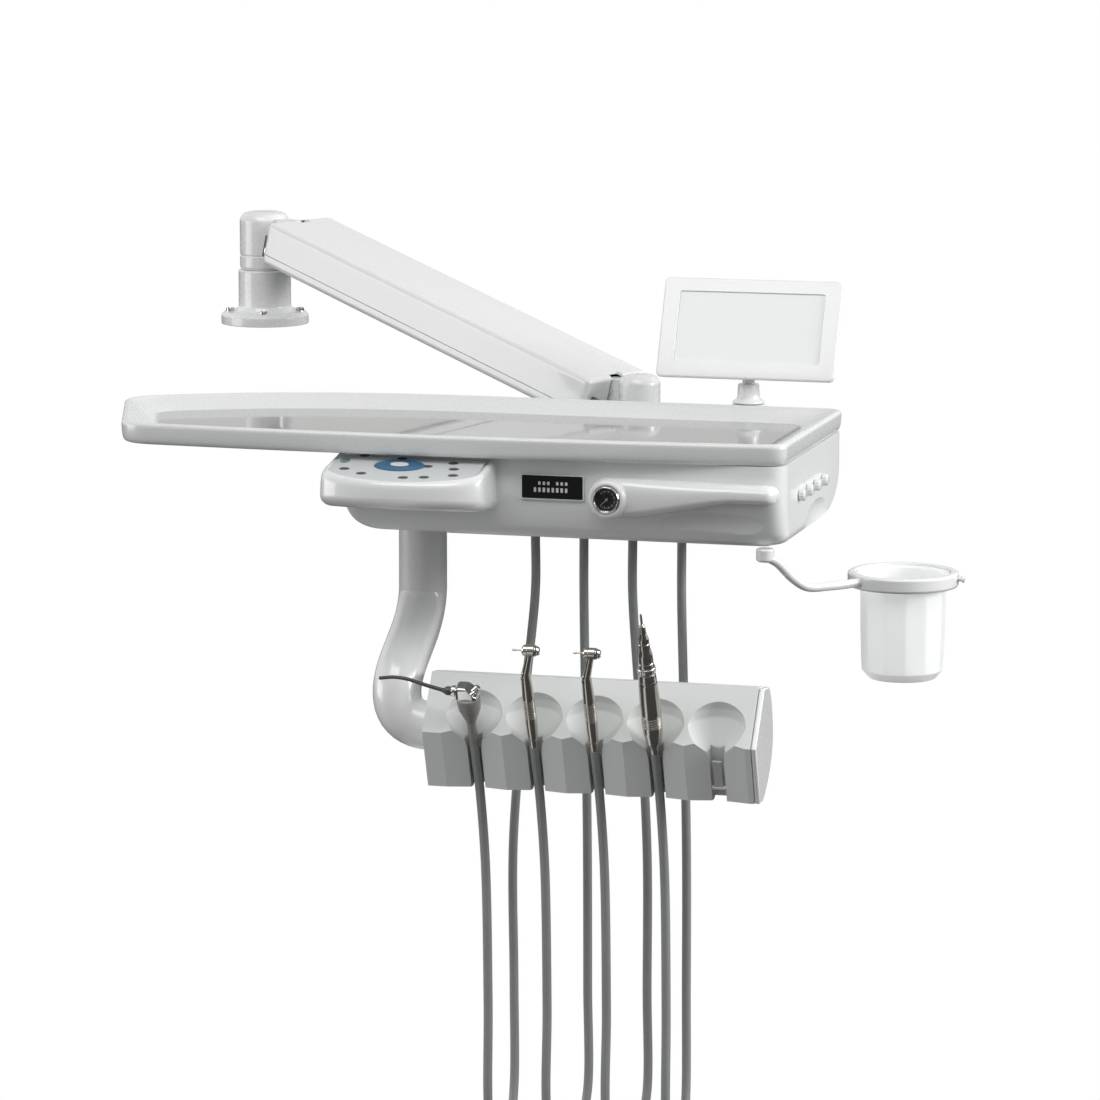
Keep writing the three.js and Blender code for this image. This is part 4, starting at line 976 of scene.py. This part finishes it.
def make_motor():
    place = slot_frame(3)
    body = [(4.6, 4, 0.5), (5.2, 9, 1), (5.4, 10.5, 0.3), (8, 18, 3), (10.1, 31, 5), (10.3, 36, 1)]
    body += grooves(37, 50, 10.35, 0.4, 2.1)
    body += [(10.4, 52, 0.5), (10.4, 67, 4), (9.5, 88, 3), (9.1, 90, 0.3), (9.1, 91.2, 0.3), (9.3, 91.6, 0.3),
             (8.7, 99.6, 0.6), (0, 99.9)]
    piece("motor_sleeve", "steel", lathe(body, 72), place, "motor", "motor_body")
    ring = [(8.7, 100.3, 0.4), (9.2, 101.4, 0.5), (9.2, 106, 0.5), (8.7, 107, 0.4)]
    shape = lathe(ring, 96, wave=lambda angle, z: 0.16 * cos(30 * angle) if 101 < z < 106.4 else 0)
    piece("motor_coupling", "chrome", shape, place, "coupling_ring", "motor_ring")
    nose = [(7.9, 107.3, 0.4), (7.9, 112, 0.4), (7.6, 112.4, 0.2), (7.6, 113.6, 0.2), (7.8, 114, 0.3),
            (7.5, 122, 2), (6, 128, 1.6), (5.6, 134, 0.8), (5.3, 134.4, 0.2), (5.3, 135.4, 0.2),
            (5.6, 135.8, 0.3), (5.5, 140, 1.5), (3.6, 146, 1.5), (3.2, 154, 0.8), (1.2, 156.6, 0.8),
            (1.2, 168, 0.5)]
    piece("motor_head", "steel", lathe(nose, 64), place, "motor", "motor_nose")


make_syringe()
make_turbine(1)
make_turbine(2)
make_motor()


# ---- cup holder

def make_cup_holder():
    x, y, z = CUP_CENTRE
    sx, sy, sz = CUP_PIVOT
    lip, rim = CUP_RADIUS, CUP_RING_RADIUS
    along = Vector((x - sx, y - sy))
    reach = along.length - rim + 4
    along.normalize()

    def at(t, height):
        return sx + along.x * t, sy + along.y * t, height

    path = smooth_path([at(0, sz - 9), at(14, sz - 16), at(34, sz - 34), at(52, z - 5), at(80, z - 7),
                        at(reach, z - 7)])
    pivot = lathe([(7, sz - 14, 1), (9, sz - 12, 1.6), (9, sz - 2, 1), (8, sz - 0.6, 0.6)])
    ring = [(lip + 2, z - 14.5, 0.8), (rim - 1.4, z - 15, 1.6), (rim, z - 12.6, 1.6), (rim, z - 1.8, 1.6),
            (rim - 2, z, 1.6), (lip + 6, z, 1), (lip + 6, z - 4.9, 0.5), (lip + 2, z - 4.9, 0.6)]
    peg = lathe([(2.4, 0), (2.4, 5.6, 0.6), (3.6, 6.6, 0.8), (3.6, 8.4, 0.8), (2.8, 9, 0.4)], 32)
    shape = joined(sweep(path, 4.5, 32, ends=0.5), moved(pivot, shift(sx, sy, 0)),
                   moved(lathe(ring, 96, closed=True), shift(x, y, 0)),
                   moved(peg, shift(x + rim - 2, y, z - 6) @ ALONG_X))
    piece("cup_ring", "white_shell", shape, HEAD, "cup_holder", "cup_arm", limit=60)


def make_cup():
    x, y, z = CUP_CENTRE
    top = z - 2
    foot = top - CUP_HEIGHT
    r = CUP_RADIUS

    def facets(angle, height):
        return -1.4 * abs(cos(6 * angle)) if foot + 10 < height < top - 9 else 0

    profile = [(24, foot + 1, 1), (27, foot, 1), (r - 9, foot, 3), (r - 1.8, foot + 8.5, 3),
               (r - 1, foot + 20), (r, foot + 50), (r + 0.4, top - 20), (r + 0.7, top - 7),
               (r + 1, top - 2.7, 0.5), (r + 4.4, top - 2.4, 0.8), (r + 4.6, top - 0.5, 0.5),
               (r + 3, top, 0.5), (r - 0.6, top - 0.4, 0.8), (r - 1, top - 8), (r - 1.3, top - 22),
               (r - 1.8, foot + 50), (r - 2.8, foot + 20), (r - 3.6, foot + 9.5, 4), (r - 10, foot + 2.4, 3)]
    piece("cup_body", "cup_plastic", lathe(profile, 144, wave=facets), HEAD @ shift(x, y, 0), "cup_body",
          "cup", limit=50)


make_cup_holder()
make_cup()


# ---- screen

def make_screen():
    post = [(16.6, 0.4, 0.8), (16.4, 2.2, 1), (12.4, 5, 3), (11.6, 9, 3), (11, 20.6, 0.8)]
    x, y, z = SCREEN_AXIS
    piece("screen_post", "white_shell", lathe(post, 64), HEAD @ shift(x, y, 0.2), node="screen_stem")
    barrel = moved(lathe([(5.4, -20, 0.6), (6.5, -18.8, 0.8), (6.5, 18.8, 0.8), (5.4, 20, 0.6)]), ALONG_X)
    neck = lathe([(6.4, -12.4, 0.6), (6.4, 0)], 40)
    piece("screen_knuckle", "white_shell", joined(barrel, neck), HEAD @ shift(x, y, z), "screen_swivel_block",
          "screen_hinge")
    half, low = SCREEN_SIZE[0] / 2, -14
    high = low + SCREEN_SIZE[1]
    middle = -12.3
    front = middle - 5
    side, bottom, top = half - 18, low + 18, high - 15
    plain = front_plate(oblong(-half, half, low, high, 7), front, middle - 0.3, 2)
    bezel = new_object("screen_bezel", plain, SCREEN)
    window = oblong(-side, side, bottom, top, 2.5)
    carve(bezel, SCREEN, front_plate(window, front - 2, middle + 2, 0))
    soften(bezel, 0.7, 3, 50)
    finish_piece(bezel, "white_shell", "screen", "screen_frame")
    back = front_plate(oblong(2 - half, half - 2, low + 2, high - 2, 7), middle, middle + 5.5, 2.2)
    ears = []
    for left in (20.3, -26.3):
        knob = lathe([(5.6, 0, 0.6), (6.5, 0.8, 0.6), (6.5, 5.2, 0.6), (5.6, 6, 0.6)], 40)
        ears.append(moved(knob, shift(left, 0, 0) @ ALONG_X))
        ears.append(block(left, left + 6, middle + 1, 0, -6.5, 6.5, 0.8))
    vents = [block(x, x + 6, middle + 5.3, middle + 5.7, high - 24, high - 12, 0.15)
             for x in range(-30, 31, 12)]
    piece("screen_cover", "white_shell", joined(back, *ears), SCREEN, "screen", "screen_back")
    piece("screen_vents", "key_grey", joined(*vents), SCREEN, "screen")
    inner = oblong(0.3 - side, side - 0.3, bottom + 0.3, top - 0.3, 2.2)
    piece("screen_panel", "display_panel", front_plate(inner, front + 1.4, middle + 1, 0.2), SCREEN, "screen",
          "screen_glass")


make_screen()


# ---- parts kept from the frame

KEPT = {
    "steel": ("root_pin", "tie_pin_rear", "front_pin", "tie_pin_front", "screen_pin"),
    "frame_metal": ("arm_beam", "tie_rod"), "board_green": ("control_board",), "aluminium": ("valve_block",),
    "lever_satin": ("valve_lever",),
}
for look, kept in KEPT.items():
    for node in kept:
        dress(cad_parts[node], look, 30)


# ---- floor and light

def light(name, energy, place, target, size):
    lamp = bpy.data.lights.new(name, "AREA")
    lamp.energy = energy
    lamp.shape = "RECTANGLE"
    lamp.size = size
    lamp.size_y = size * 0.6
    add_object(name, lamp, place, target - place)


SIDE_GLOW = 0.5
TOP_GLOW = 0.2
BACK_GLOW = 0.42
ROOM_GLOW = 0.18
FLOOR_GLOW = 0.07
STREAK_MIDDLE = 0.1
STREAK_HALF = 0.22
STREAK_GLOW = 0.8


def maths(tree, operation, a, b):
    node = add_node(tree, "Math")
    node.operation = operation
    for socket, value in enumerate((a, b)):
        put(tree, node, socket, value)
    return node.outputs[0]


def white_to_camera(tree, glow):
    """A strength that is full white to the camera, and the glow to everything else."""
    pick = add_node(tree, "Mix")
    pick.data_type = "FLOAT"
    seen = add_node(tree, "LightPath").outputs["Is Camera Ray"]
    for name, value in (("Factor", seen), ("A", glow), ("B", 1)):
        put(tree, pick, name, value)
    return pick.outputs["Result"]


def make_world():
    scene = bpy.context.scene
    scene.view_settings.view_transform = "Standard"
    world = scene.world or bpy.data.worlds.new("studio")
    scene.world = world
    world.use_nodes = True
    tree = world.node_tree
    tree.nodes.clear()
    x, y, z = add_node(tree, "SeparateXYZ", Vector=add_node(tree, "TexCoord").outputs["Generated"]).outputs
    # Brightest from both sides, softer from above, and dark from in front and below.
    sides = maths(tree, "MULTIPLY", maths(tree, "MULTIPLY", x, x), SIDE_GLOW)
    above = maths(tree, "MULTIPLY", maths(tree, "MAXIMUM", z, 0), TOP_GLOW)
    behind = maths(tree, "MULTIPLY", maths(tree, "MAXIMUM", y, 0), BACK_GLOW)
    glow = maths(tree, "ADD", maths(tree, "ADD", sides, above), maths(tree, "ADD", behind, ROOM_GLOW))
    back = add_node(tree, "Background", Color=(1, 1, 1, 1), Strength=white_to_camera(tree, glow))
    add_node(tree, "OutputWorld", Surface=back.outputs["Background"])


def make_floor():
    floor = bpy.data.materials.new("pale_floor")
    floor.use_nodes = True
    tree = floor.node_tree
    tree.nodes.clear()
    # A brighter strip on the floor gives the steel instruments a streak to mirror.
    x = add_node(tree, "SeparateXYZ", Vector=add_node(tree, "NewGeometry").outputs["Position"]).outputs["X"]
    away = maths(tree, "DIVIDE", maths(tree, "SUBTRACT", x, STREAK_MIDDLE), STREAK_HALF)
    strip = maths(tree, "MAXIMUM", maths(tree, "SUBTRACT", 1, maths(tree, "MULTIPLY", away, away)), 0)
    level = maths(tree, "ADD", maths(tree, "MULTIPLY", strip, STREAK_GLOW), FLOOR_GLOW)
    glow = add_node(tree, "Emission", Strength=white_to_camera(tree, level))
    add_node(tree, "OutputMaterial", Surface=glow.outputs["Emission"])
    # It lies below the hose loops even when the arm has lowered the head.
    top, half = cad_box[0][2] - FLOOR_DROP, FLOOR_SIZE / 2
    ground = new_object("floor", block(-half, half, -half, half, top - 0.01, top), shift(0, 0, 0))
    ground.data.materials.append(floor)


make_world()
make_floor()
centre = origin + Vector((-0.3, 0.1, -0.2))
for name, energy, place, size in (("right", 58, (2.7, 0.1, 0.9), 1.6), ("above", 57, (-0.4, -2.1, 3.2), 2.8),
                                  ("left", 15, (-2.6, -0.7, 0.2), 1.6)):
    light(name, energy, centre + Vector(place), centre, size)
